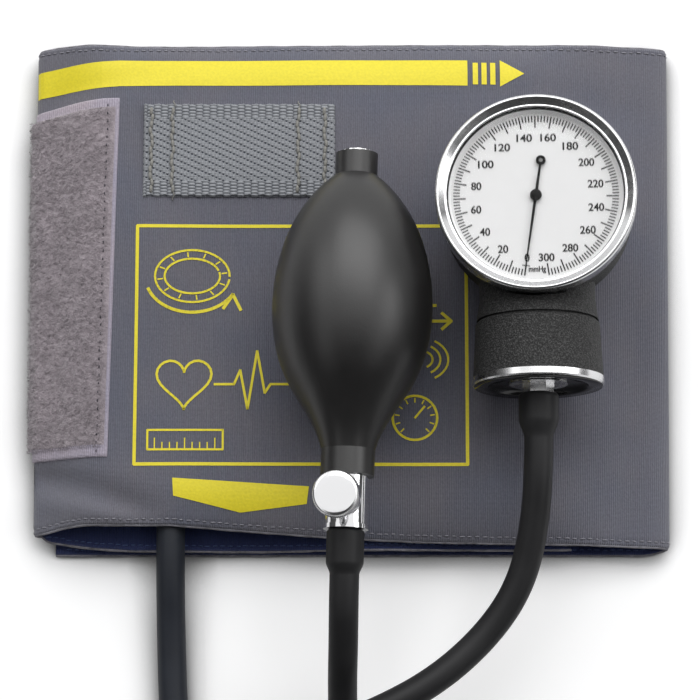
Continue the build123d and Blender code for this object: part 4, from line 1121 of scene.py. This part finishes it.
class SPHYG_OT_pads(bpy.types.Operator):
    """Make the fuzzy loop pad round the left fold and the hook pad under it"""

    bl_idname = "sphyg.pads"
    bl_label = "Pads"

    front = -0.0490
    back = 0.0558
    edge = 0.0028
    right = -0.064
    under_end = -0.05
    fold_bulge = 0.0009
    fold_spread = 0.009

    def execute(self, context):
        chosen = settings(context).pads
        pile = self.pile_finish(chosen.pile)
        selvage = woven_fabric("selvage_weave", (0.42, 0.36, 0.41), 0.0007)
        under = strip.s < strip.tip
        first = float(np.interp(self.under_end, strip.line[under, 0][::-1], strip.s[under][::-1]))
        pad = self.field(first, pile, selvage)
        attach(pad, MAIN_BODY)
        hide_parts("loop_pad")
        fuzz = self.fuzz(chosen.fibres, first + 0.012, self.last() - 0.0020, pile)
        dots = self.side_seam()
        hooks = woven_fabric("hook_tape", (0.05, 0.05, 0.06), 0.0009)
        low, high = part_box("hook_pad")
        tape = self.tape(low, high, hooks)
        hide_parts("hook_pad")
        return {"FINISHED"}

    def pile_finish(self, colour):
        """Matt tangled fibre in uneven clumps."""
        made, shader = material("loop_pile_finish", colour, 0.95)
        shader.inputs["Sheen Weight"].default_value = 0.5
        tangle = noise(made, 820, 5, 0.7)
        loops = ramp(made, tangle, [(0.30, scaled(colour, 0.72)), (0.66, scaled(colour, 1.12))])
        clumps = ramp(made, noise(made, 130, 3), [(0.3, grey(0.85)), (0.7, grey(1.08))])
        link(made, multiplied(made, loops, clumps), shader.inputs["Base Color"])
        bump(made, shader, tangle, 0.0009)
        return made

    def last(self):
        return strip.s_at(self.right)

    def bulge(self, s):
        """How far the pad stands out more at the cuff's left fold."""
        return self.fold_bulge * math.exp(-(((s - strip.tip) / self.fold_spread) ** 2))

    def placed(self, s, y):
        """Where a point of the pad lies: its right edge leans in, and its fold end is pulled to the front."""
        share = s / self.last()
        away = (self.back - y) / (self.back - self.front)
        over = max(0.0, strip.s_at(-0.066) - s)
        pulled = 0.0030 * min(over / 0.028, 1) ** 1.5 * max(0.0, (y + 0.01) / 0.07)
        return s - share * (0.0013 + 0.0018 * away), y + 0.0010 * away * share - pulled

    def field(self, first, pile, selvage):
        """The pad's own sheet: thin woven edges round an uneven raised field of pile."""
        front, back, edge = self.front, self.back, self.edge
        s_values = np.linspace(first, self.last(), 70)
        y_values = np.concatenate([
            [front, front + 0.0003],
            np.linspace(front + 0.0010, front + edge, 4),
            np.linspace(front + edge + 0.0006, back - edge - 0.0006, 150),
            np.linspace(back - edge, back - 0.0010, 4),
            [back - 0.0003, back],
        ])
        rows, columns = len(s_values), len(y_values)
        rng = np.random.default_rng(7)
        vertices, uvs = [], []
        for a, s in enumerate(s_values):
            for b, y in enumerate(y_values):
                rim = min(a, rows - 1 - a, b, columns - 1 - b)
                height = 0.00015 if rim == 0 else 0.00062
                if rim > 2 and edge < y - front < back - front - edge:
                    height = 0.00105 + 0.00016 * rng.standard_normal()
                if height > 0.0007:
                    height += self.bulge(s)
                vertices.append(strip.point(*self.placed(s, y), rise=height))
                uvs.append((s, y))
        indices = []
        for i in range(rows - 1):
            for y in y_values[:-1]:
                plain = y - front < edge or back - y < edge + 0.0002 or i > rows - 3
                indices.append(1 if plain else 0)
        faces = grid_faces(rows, columns, flip=True)
        pad = mesh_piece("loop_pad_soft", vertices, faces, [pile, selvage], indices=indices)
        add_uvs(pad, "pad", uvs)
        return pad

    def side_seam(self):
        """The dark stitches that hold the pad's right edge."""
        vertices, faces = [], []
        y = self.front + 0.0012
        while y < self.back - 0.0022:
            s = self.last() - 0.0031 + 0.0001 * math.sin(y * 2100)
            path = []
            for share in STITCH_SHARES:
                rise = 0.0013 - 0.0004 * abs(share - 0.5)
                path.append(strip.point(*self.placed(s, y + 0.0008 * share), rise=rise))
            thread_stitch(path, 0.00018, vertices, faces)
            y += 0.0024
        thread = thread_finish("pad_thread", (0.05, 0.045, 0.06))
        piece = mesh_piece("pad_stitches", vertices, faces, [thread])
        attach(piece, MAIN_BODY)
        return piece

    def fuzz(self, count, first, last, finish):
        """Small bent loops of fibre, standing off the pad."""
        rng = np.random.default_rng(11)
        width = 0.00005
        vertices, faces = [], []
        for _ in range(count):
            s = first + (last - first) * rng.random()
            y = self.front + self.edge + (self.back - self.front - 2 * self.edge) * rng.random()
            turn = rng.random() * 2 * math.pi
            reach = 0.0005 + 0.0008 * rng.random()
            lift = 0.0004 + 0.0004 * rng.random()
            start = len(vertices)
            for share in (0, 0.35, 0.7, 1):
                ds = math.cos(turn) * reach * share
                dy = math.sin(turn) * reach * share
                rise = 0.0010 + lift * math.sin(math.pi * share) + self.bulge(s)
                along, across = self.placed(s + ds, y + dy)
                for way in (-1, 1):
                    edge_s = along + way * math.sin(turn) * width
                    edge_y = across - way * math.cos(turn) * width
                    vertices.append(strip.point(edge_s, edge_y, rise=rise))
            for k in range(3):
                base = start + 2 * k
                faces.append((base, base + 1, base + 3, base + 2))
        piece = mesh_piece("loop_pad_fuzz", vertices, faces, [finish])
        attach(piece, MAIN_BODY)
        return piece

    def tape(self, low, high, finish):
        """The hook tape: a thin strip with rows of small hooks on its upper face."""
        work = bmesh.new()
        thickness, pitch, margin = 0.0006, 0.0021, 0.002
        size = (high.x - low.x, high.y - low.y, thickness)
        for v in bmesh.ops.create_cube(work, size=1.0)["verts"]:
            v.co = Vector([low[k] + (v.co[k] + 0.5) * size[k] for k in range(3)])
        bmesh.ops.bevel(work, geom=work.edges[:], offset=0.0002, segments=2, affect="EDGES")
        # One hook's line, as (along, up), and half its width
        hook = [(0, thickness - 0.0001), (0.0001, 0.0009), (0.0004, 0.0011), (0.0007, 0.0009)]
        half = 0.00013
        for i in range(int((size[0] - 0.003) / pitch)):
            for j in range(int((size[1] - 0.003) / pitch)):
                x = low.x + margin + i * pitch
                y = low.y + margin + j * pitch
                ring = []
                for along, up in hook:
                    point = Vector((x + along, y, low.z + up))
                    ring.append([work.verts.new(point + Vector((0, w, 0))) for w in (-half, half)])
                for a, b in zip(ring, ring[1:]):
                    work.faces.new((a[0], a[1], b[1], b[0]))
        piece = worked_piece("hook_pad_tape", work, finish)
        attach(piece, MAIN_BODY)
        return piece


class SPHYG_OT_webbing_tab(bpy.types.Operator):
    """Weave the webbing tab and sew it down with its four stitch rows"""

    bl_idname = "sphyg.webbing_tab"
    bl_label = "Webbing Tab"

    left = -0.0583
    right = -0.0038
    front = 0.0266
    back = 0.0536
    base = 0.0171
    thickness = 0.0013
    selvage = 0.0042
    period = 0.00396
    seams = (-0.0560, -0.0500, -0.0143, -0.0067)

    def execute(self, context):
        chosen = settings(context).pads
        yarn = self.yarn_finish(chosen.webbing)
        tab = self.weave(chosen.row_pitch, yarn)
        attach(tab, MAIN_BODY)
        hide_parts("webbing_tab")
        thread = self.sew()
        return {"FINISHED"}

    def yarn_finish(self, colour):
        """Woven yarn with fine strands; painted shade near black in its holes, painted light on its floats.
        """
        made, shader = material("webbing_yarn", colour, 0.6)
        shader.inputs["Sheen Weight"].default_value = 0.2
        depth = add_node(made, "ShaderNodeAttribute", attribute_name="height")
        strands = add_node(
            made, "ShaderNodeTexWave", wave_type="BANDS", bands_direction="Y", Scale=1500.0, Distortion=3.0,
            Detail=2.0,
        )
        link(made, position(made), strands.inputs["Vector"])
        # The holes' near black is partly the dark cloth under the weave and partly painted shade; the lighter
        # crowns are painted light
        hole = [0.06 * colour[0], 0.09 * colour[1], 0.16 * colour[2]]
        painted_light_crown = [min(c * 1.16, 1) for c in colour]
        relief = ramp(made, depth.outputs["Fac"], [(0.08, hole), (0.36, scaled(colour, 0.66)), (0.95, painted_light_crown)])
        fine = ramp(made, strands.outputs["Fac"], [(0.0, grey(0.86)), (1.0, grey(1.05))])
        link(made, multiplied(made, relief, fine), shader.inputs["Base Color"])
        bump(made, shader, strands.outputs["Fac"], 0.00004)
        return made

    def relief(self, x, y, pitch):
        """How proud the yarn is at a place: 0 in a hole, 1 on a float."""
        along = (x - self.left) / self.period
        across = (y - self.front) / pitch
        edge = min(y - self.front, self.back - y)
        proud = 0.0
        for row in range(math.floor(across) - 1, math.floor(across) + 2):
            off = across - row - 0.5
            if edge < self.selvage:
                # side bands: long floats, each row's half a period on from the last
                float_height = max(0.0, math.cos(2 * math.pi * (along + row * 0.5))) ** 0.4
                value = math.sqrt(max(0.0, 1 - (off / 0.95) ** 2)) * float_height
            else:
                # middle: a hole each period, a quarter on in each row, which makes the diagonal
                from_hole = ((along + row * 0.25 + 0.5) % 1 - 0.5) * self.period
                hole = math.exp(-((from_hole / 0.00034) ** 2))
                step = 0.84 + 0.16 * math.cos(2 * math.pi * 4 * along)
                value = math.sqrt(max(0.0, 1 - (off * 1.7) ** 2)) * (1 - hole) * step
            proud = max(proud, value)
        return proud

    def weave(self, pitch, yarn):
        """The tab as one relief on a fine grid, with ragged long edges."""
        step, deep, rim, ragged_rim = 0.00012, 0.00055, 0.0004, 0.0005
        xs = np.arange(self.left, self.right + step / 2, step)
        ys = np.arange(self.front, self.back + step / 2, step)
        vertices, heights = [], []
        for x in xs:
            ragged = 0.00022 * abs(math.sin(math.pi * x / 0.004)) + 0.00005 * math.sin(x * 5200)
            for y in ys:
                value = self.relief(x, y, pitch)
                edge = min(y - self.front, self.back - y, x - self.left, self.right - x)
                fall = 1 if edge > rim else max(edge, 0) / rim
                z = self.base + (self.thickness - deep + deep * value) * (0.25 + 0.75 * fall)
                shift = 0.0
                if y - self.front < ragged_rim:
                    shift = -ragged
                elif self.back - y < ragged_rim:
                    shift = ragged
                vertices.append((x, y + shift, z))
                heights.append(value)
        faces = grid_faces(len(xs), len(ys), flip=True)
        tab = mesh_piece("webbing_tab_weave", vertices, faces, [yarn])
        layer = tab.data.attributes.new("height", "FLOAT", "POINT")
        layer.data.foreach_set("value", heights)
        return tab

    def sew(self):
        """The four rows of thick stitches, and three loose thread ends."""
        thread = thread_finish("tab_thread", (0.27, 0.265, 0.245))
        vertices, faces = [], []
        top = self.base + self.thickness + 0.00005
        length, pitch = 0.0021, 0.0019
        for row, x in enumerate(self.seams):
            y = self.front + 0.0009
            k = 0
            while y < self.back - 0.0024:
                wobble = 0.00026 * math.sin(k * 1.9 + row * 2.4)
                path = []
                for share in STITCH_SHARES:
                    across = x + wobble + 0.0001 * math.sin(3 * share + k)
                    up = top + 0.0003 * math.sin(math.pi * share) - 0.00012
                    path.append((across, y + length * share, up))
                thread_stitch(path, 0.00050, vertices, faces)
                y += pitch
                k += 1
        ends = [(-0.0496, self.front + 0.0008, 1), (-0.0141, self.back - 0.0012, -1)]
        ends.append((-0.0496, self.back - 0.0010, -1))
        for x, y, way in ends:
            path = []
            for share in np.linspace(0, 1, 7):
                up = top + 0.0002 - 0.0010 * share * share
                path.append((x + 0.0003 * math.sin(share * 6), y - way * 0.0022 * share, up))
            thread_stitch(path, 0.00018, vertices, faces)
        piece = mesh_piece("tab_stitches", vertices, faces, [thread])
        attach(piece, MAIN_BODY)
        return piece


# Bulb and valve

BOSS_ORIGIN = Vector((-0.000555, -0.064075, 0.0391))
BOSS_AXIS = Vector((-0.17357, 0.00515, 0.98481))


class SPHYG_OT_bulb(bpy.types.Operator):
    """Finish the bulb in satin rubber and the valves in bright plate"""

    bl_idname = "sphyg.bulb"
    bl_label = "Bulb and Valves"

    def execute(self, context):
        chosen = settings(context).bulb
        dress(rubber("bulb_rubber", chosen.rubber, 0.38, gloss=0.65), "bulb")
        plate = polished_metal("valve_plate", (0.83, 0.83, 0.84), 0.10)
        dress(plate, "release_valve_body", "inlet_valve_body", "stem_bonnet")
        dress(polished_metal("stem_steel", (0.55, 0.55, 0.57), 0.25), "release_stem")
        dress(polished_metal("ball_steel", (0.6, 0.6, 0.62), 0.15), "inlet_valve_ball")
        dress(plastic("retainer_plastic", (0.8, 0.8, 0.77), 0.4), "inlet_valve_retainer")
        dress(rubber("disc_rubber", (0.03, 0.03, 0.03), 0.6), "outlet_check_disc")
        dress(rubber("seal_rubber", (0.03, 0.03, 0.03), 0.5), "stem_seal_ring")
        self.knob(chosen.knurls, plate)
        return {"FINISHED"}

    def knob(self, knurls, plate):
        """The release knob with its fine knurl and plain, slightly domed face."""
        place = axis_place(BOSS_ORIGIN, BOSS_AXIS)
        profile = [
            (0.0018, 0.0129), (0.0033, 0.0129), (0.0056, 0.0129), (0.0060, 0.01315), (0.0062, 0.0135),
            (0.0062, 0.0140), (0.0062, 0.0150), (0.0062, 0.0160), (0.0062, 0.0168), (0.00605, 0.0172),
            (0.0058, 0.01742), (0.0054, 0.01752), (0.0042, 0.0176), (0.0024, 0.01763), (0.0006, 0.01765),
            (0.0, 0.01765),
        ]
        knurl_first, knurl_last, knurl_depth = 3, 9, 0.00011

        def ripple(row, angle):
            if not knurl_first <= row <= knurl_last:
                return 0.0
            fade = 0.5 if row in (knurl_first, knurl_last) else 1.0
            return knurl_depth * fade * (abs((angle * knurls / (2 * math.pi)) % 1 - 0.5) * 4 - 1)

        knob = spun("release_knob_turned", place, profile, plate, knurls * 8, "knob", ripple)
        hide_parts("release_knob")


# Gauge

GAUGE_ORIGIN = Vector((0.0508, 0.0183, 0.050))
GAUGE_ROLL = math.radians(5.0)
GAUGE_PLACE = Matrix.Translation(GAUGE_ORIGIN) @ Matrix.Rotation(-GAUGE_ROLL, 4, "Y")
NECK_PLACE = axis_place((0.051878, 0.0183, 0.034234), (0, -1, 0))
SCALE_SWEEP = 343.0
ZERO_ANGLE = 8.5


class SPHYG_OT_gauge(bpy.types.Operator):
    """Finish the gauge's case, neck, base, glass and inner works"""

    bl_idname = "sphyg.gauge"
    bl_label = "Gauge"

    # The black end face of the base, from its rim in to the washer
    dish = [
        (0.0176, 0.0496), (0.0175, 0.0499), (0.0140, 0.0499), (0.0136, 0.0497), (0.0134, 0.0486),
        (0.0082, 0.0485),
    ]

    def execute(self, context):
        chosen = settings(context).gauge
        dress(crinkle_paint("case_crinkle", chosen.paint), "gauge_case", "neck_sleeve")
        plate = polished_metal("gauge_plate", (0.80, 0.80, 0.81), 0.24, 0.000001)
        dress(plate, "base_ring", "nipple_washer", "hose_nipple", "gauge_clip")
        dress(plastic("base_black", (0.008, 0.008, 0.008), 0.12), "base_plate")
        dress(printed_dial("dial_enamel", chosen.face), "dial_plate")
        dress(plastic("flange_white", (0.85, 0.85, 0.85), 0.35), "dial_spacer_ring")
        dress(clear_glass("lens_glass"), "gauge_lens")
        dress(plastic("pointer_paint", (0.004, 0.004, 0.004), 0.6, 0.15), "pointer")
        brass = polished_metal("works_brass", (0.62, 0.44, 0.20), 0.25)
        dress(brass, "movement_bottom_plate", "movement_top_plate", "movement_pillars")
        dress(brass, "sector_gear", "rocker_arm")
        steel = polished_metal("works_steel", (0.5, 0.5, 0.52), 0.22)
        dress(steel, "movement_screws", "sector_shaft", "pinion_arbor", "hairspring", "capsule_push_pin")
        dress(steel, "clip_screws")
        dress(polished_metal("capsule_bronze_foil", (0.55, 0.36, 0.22), 0.3), "capsule")
        dress(rubber("gasket_rubber", (0.03, 0.03, 0.03), 0.6), "base_gasket", "lens_gasket")
        self.bezel(polished_metal("bezel_plate", (0.74, 0.74, 0.75), 0.22, 0.0000004))
        spun("base_dish", NECK_PLACE, self.dish, plastic("base_dish_black", (0.006, 0.006, 0.006), 0.14))
        return {"FINISHED"}

    def bezel(self, plate):
        profile = [
            (0.02632, -0.0020), (0.0269, -0.0020), (0.0271, -0.0019), (0.02725, -0.0016), (0.02725, 0.0000),
            (0.02725, 0.0030), (0.02725, 0.0041), (0.02718, 0.0046), (0.0270, 0.0049), (0.02675, 0.0051),
            (0.0265, 0.0052), (0.02625, 0.0051), (0.0261, 0.00495), (0.02605, 0.00491), (0.0248, 0.00389),
            (0.02475, 0.00385), (0.0246, 0.00378), (0.0244, 0.00385), (0.02415, 0.00382), (0.0240, 0.0036),
            (0.0240, 0.0032), (0.0254, 0.0032),
        ]
        bezel = spun("bezel_turned", GAUGE_PLACE, profile, plate, 192)
        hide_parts("gauge_bezel")


class SPHYG_OT_dial(bpy.types.Operator):
    """Print the dial's scale, numbers and unit"""

    bl_idname = "sphyg.dial"
    bl_label = "Dial Scale"

    outer = 0.02245
    short = 0.00178
    long = 0.0034
    thin_tick = 0.00036
    thick_tick = 0.00040
    label_ring = 0.0164
    label_drop = 0.0012
    rest_bar = 0.01965
    rest_half = 0.00015
    rest_width = 0.0021
    digit_pitch = 0.00146
    ink_height = 0.00004
    unit_place = (0.0001, -0.0205)
    unit_height = 0.0015
    unit_width = 0.0047
    # The font's figures are this share of its size, and its strokes are made this much bolder
    figure_share = 0.7
    bolder = 0.00008

    def execute(self, context):
        chosen = settings(context).gauge
        ink, shader = material("dial_ink", chosen.ink, 0.5)
        vary(ink, shader, noise(ink, 800, 2), (0.3, chosen.ink), (0.8, scaled(chosen.ink, 1, 0.004)))
        shader.inputs["Specular IOR Level"].default_value = 0.2
        self.ticks(chosen.full_scale, ink)
        self.labels(chosen.full_scale, chosen.label_height, ink)
        return {"FINISHED"}

    def angle(self, reading, full):
        """The scale's angle for a reading, in radians from the dial's right."""
        return math.radians(270 - ZERO_ANGLE - SCALE_SWEEP * reading / full)

    def ticks(self, full, ink):
        """The scale's bars, one for every 2 mmHg, and the short bar across it at zero."""
        vertices, faces = [], []

        def bar(radius_in, radius_out, angle, width):
            along = Vector((math.cos(angle), math.sin(angle), 0))
            side = Vector((-along.y, along.x, 0)) * width / 2
            lift = Vector((0, 0, self.ink_height))
            start = len(vertices)
            for r, way in ((radius_in, -1), (radius_in, 1), (radius_out, 1), (radius_out, -1)):
                vertices.append(GAUGE_PLACE @ (along * r + side * way + lift))
            faces.append((start + 3, start + 2, start + 1, start))

        for reading in range(0, full + 1, 2):
            depth, width = (self.short, self.thin_tick) if reading % 10 else (self.long, self.thick_tick)
            bar(self.outer - depth, self.outer, self.angle(reading, full), width)
        zero = self.angle(0, full)
        bar(self.rest_bar - self.rest_half, self.rest_bar + self.rest_half, zero, self.rest_width)
        piece = mesh_piece("dial_ticks", vertices, faces, [ink], smooth=False)
        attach(piece, MAIN_BODY)

    def labels(self, full, height, ink):
        """The numbers inside the scale, a little lower at its foot, and the unit."""
        made = []
        for reading in range(0, full + 1, 20):
            angle = self.angle(reading, full)
            ring = self.label_ring + self.label_drop * max(0.0, -math.sin(angle))
            place = (ring * math.cos(angle), ring * math.sin(angle))
            digits = str(reading)
            made.append(self.word(digits, place, height, self.digit_pitch * len(digits) - 0.0001))
        made.append(self.word("mmHg", self.unit_place, self.unit_height, self.unit_width))
        with bpy.context.temp_override(active_object=made[0], selected_editable_objects=made):
            bpy.ops.object.join()
        piece = made[0]
        piece.name = "dial_labels"
        piece.data.materials.clear()
        piece.data.materials.append(ink)
        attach(piece, MAIN_BODY)

    def word(self, text, place, height, width):
        """One upright printed word or number as a flat mesh on the dial."""
        curve = bpy.data.curves.new("label_" + text, "FONT")
        curve.body = text
        curve.size = height / self.figure_share
        curve.align_x = "CENTER"
        curve.align_y = "CENTER"
        curve.offset = self.bolder
        text_object = add_object("label_" + text, curve)
        bpy.context.view_layer.update()
        mesh = bpy.data.meshes.new_from_object(text_object)
        bpy.data.objects.remove(text_object)
        across = [v.co.x for v in mesh.vertices]
        fit = Matrix.Diagonal((width / (max(across) - min(across)), 1.0, 1.0, 1.0))
        mesh.transform(GAUGE_PLACE @ Matrix.Translation((place[0], place[1], self.ink_height)) @ fit)
        return add_object("label_" + text, mesh)


# Stage


class SPHYG_OT_stage(bpy.types.Operator):
    """Set the floor, the soft studio light and the camera"""

    bl_idname = "sphyg.stage"
    bl_label = "Stage"

    target = Vector((0.0004, -0.0175, 0.016))
    # Each softbox's name, place, size and share of the key light's power
    softboxes = (
        ("back_softbox", (0.14, 0.74, 1.10), (1.35, 0.9), 1.0),
        ("left_softbox", (-1.05, 0.62, 1.05), (0.6, 0.6), 0.16),
        ("right_softbox", (1.25, 0.1, 0.85), (0.6, 0.6), 0.37),
    )

    def execute(self, context):
        chosen = settings(context).stage
        scene = context.scene
        scene.view_settings.view_transform = "Standard"
        self.camera(scene, chosen)
        self.world(scene)
        self.floor(chosen)
        for name, place, size, share in self.softboxes:
            self.softbox(name, place, size, chosen.key_power * share)
        self.dark_wall()
        return {"FINISHED"}

    def camera(self, scene, chosen):
        """A long lens over the front of the table, at the photograph's angle."""
        lens = bpy.data.cameras.new("view_camera")
        lens.lens = 143.0
        lens.sensor_width = 36.0
        camera = add_object("view_camera", lens)
        tilt = chosen.camera_elevation
        back = Vector((0, -math.cos(tilt), math.sin(tilt)))
        camera.location = self.target + back * chosen.camera_distance
        camera.rotation_euler = (-back).to_track_quat("-Z", "Y").to_euler()
        scene.camera = camera

    def world(self, scene):
        """Plain white where the camera, metal or glass sees it, and a little darker as light."""
        world = bpy.data.worlds.new("studio")
        world.use_nodes = True
        scene.world = world
        path = add_node(world, "ShaderNodeLightPath")
        seen = path.outputs["Is Camera Ray"]
        for kind in ("Is Glossy Ray", "Is Transmission Ray"):
            either = add_node(world, "ShaderNodeMath", operation="MAXIMUM")
            link(world, seen, either.inputs[0])
            link(world, path.outputs[kind], either.inputs[1])
            seen = either.outputs["Value"]
        mix = add_node(world, "ShaderNodeMixRGB", Color1=(0.78, 0.78, 0.79, 1), Color2=(1, 1, 1, 1))
        link(world, seen, mix.inputs["Fac"])
        link(world, mix.outputs["Color"], world.node_tree.nodes["Background"].inputs["Color"])

    def floor(self, chosen):
        """Pale paper with painted shade where the object keeps light off it, glowing a little for the camera.
        """
        made, shader = material("floor_paper", chosen.floor, 0.9)
        shader.inputs["Specular IOR Level"].default_value = 0.0
        # Painted contact shadow: the paper's colour and its glow are darkened near the object by ambient
        # occlusion
        hidden = add_node(made, "ShaderNodeAmbientOcclusion", Distance=0.012)
        painted_shadow_stops = [(0.45, grey(0.20)), (0.70, grey(0.66)), (0.90, grey(1.0))]
        painted_contact_shadow = ramp(made, hidden.outputs["AO"], painted_shadow_stops)
        tint = add_node(made, "ShaderNodeMixRGB", blend_type="MULTIPLY", Fac=1.0, Color2=(*chosen.floor, 1))
        link(made, painted_contact_shadow, tint.inputs["Color1"])
        link(made, tint.outputs["Color"], shader.inputs["Base Color"])
        path = add_node(made, "ShaderNodeLightPath")
        glow = add_node(made, "ShaderNodeEmission", Strength=0.22)
        link(made, painted_contact_shadow, glow.inputs["Color"])
        clear = add_node(made, "ShaderNodeEmission", Strength=0.0)
        pick = add_node(made, "ShaderNodeMixShader")
        total = add_node(made, "ShaderNodeAddShader")
        link(made, path.outputs["Is Camera Ray"], pick.inputs["Fac"])
        link(made, clear.outputs["Emission"], pick.inputs[1])
        link(made, glow.outputs["Emission"], pick.inputs[2])
        link(made, shader.outputs["BSDF"], total.inputs[0])
        link(made, pick.outputs["Shader"], total.inputs[1])
        link(made, total.outputs["Shader"], made.node_tree.nodes["Material Output"].inputs["Surface"])
        half = 4.0
        corners = [(-half, -half, 0), (half, -half, 0), (half, half, 0), (-half, half, 0)]
        sheet = mesh_piece("floor", corners, [(0, 1, 2, 3)], [made], smooth=False)

    def dark_wall(self):
        """Dark felt for metal and rubber to reflect: a wall far round the sides and front, and a flag
        that leans in over the front. The back stays light."""
        made, shader = material("card_felt", (0.03, 0.03, 0.03), 0.95)
        vary(made, shader, noise(made, 4, 2), (0.3, grey(0.07)), (0.7, grey(0.10)))
        far, tall, steps = 1.7, 1.3, 24
        corners = []
        for k in range(steps + 1):
            turn = math.radians(150 + 240 * k / steps)
            for height in (0, tall):
                corners.append((far * math.cos(turn), far * math.sin(turn), height))
        wall = mesh_piece("dark_wall", corners, grid_faces(steps + 1, 2), [made], smooth=False)
        hood = [(-1.0, -far, tall), (1.0, -far, tall), (1.0, -0.25, 1.5), (-1.0, -0.25, 1.5)]
        flag = mesh_piece("dark_flag", hood, [(0, 1, 2, 3)], [made], smooth=False)

    def softbox(self, name, place, size, power):
        """A rectangular area light that faces the object."""
        light = bpy.data.lights.new(name, "AREA")
        light.shape = "RECTANGLE"
        light.size, light.size_y = size
        light.energy = power
        lamp = add_object(name, light)
        lamp.location = place
        lamp.rotation_euler = (self.target - Vector(place)).to_track_quat("-Z", "Y").to_euler()


# Panel and registration

OPERATORS = (
    SPHYG_OT_stage,
    SPHYG_OT_hoses,
    SPHYG_OT_cuff,
    SPHYG_OT_prints,
    SPHYG_OT_pads,
    SPHYG_OT_webbing_tab,
    SPHYG_OT_bulb,
    SPHYG_OT_gauge,
    SPHYG_OT_dial,
)


class VIEW3D_PT_sphygmomanometer(bpy.types.Panel):
    bl_label = "Sphygmomanometer"
    bl_idname = "VIEW3D_PT_sphygmomanometer"
    bl_space_type = "VIEW_3D"
    bl_region_type = "UI"
    bl_category = "Sphygmomanometer"

    def draw(self, context):
        layout = self.layout
        for group in ("cuff", "pads", "hoses", "bulb", "gauge", "stage"):
            box = layout.box()
            chosen = getattr(settings(context), group)
            for name in chosen.__annotations__:
                box.prop(chosen, name)
        for operator in OPERATORS:
            layout.operator(operator.bl_idname)


CLASSES = (
    CuffSettings,
    PadSettings,
    HoseSettings,
    BulbSettings,
    GaugeSettings,
    StageSettings,
    SphygmomanometerSettings,
    *OPERATORS,
    VIEW3D_PT_sphygmomanometer,
)


def register():
    for entry in CLASSES:
        bpy.utils.register_class(entry)
    bpy.types.Scene.sphygmomanometer = PointerProperty(type=SphygmomanometerSettings)


def unregister():
    del bpy.types.Scene.sphygmomanometer
    for entry in reversed(CLASSES):
        bpy.utils.unregister_class(entry)


def main():
    register()
    bpy.ops.sphyg.stage()
    bpy.ops.sphyg.hoses()
    bpy.ops.sphyg.cuff()
    bpy.ops.sphyg.prints()
    bpy.ops.sphyg.pads()
    bpy.ops.sphyg.webbing_tab()
    bpy.ops.sphyg.bulb()
    bpy.ops.sphyg.gauge()
    bpy.ops.sphyg.dial()


if __name__ == "__main__":
    main()
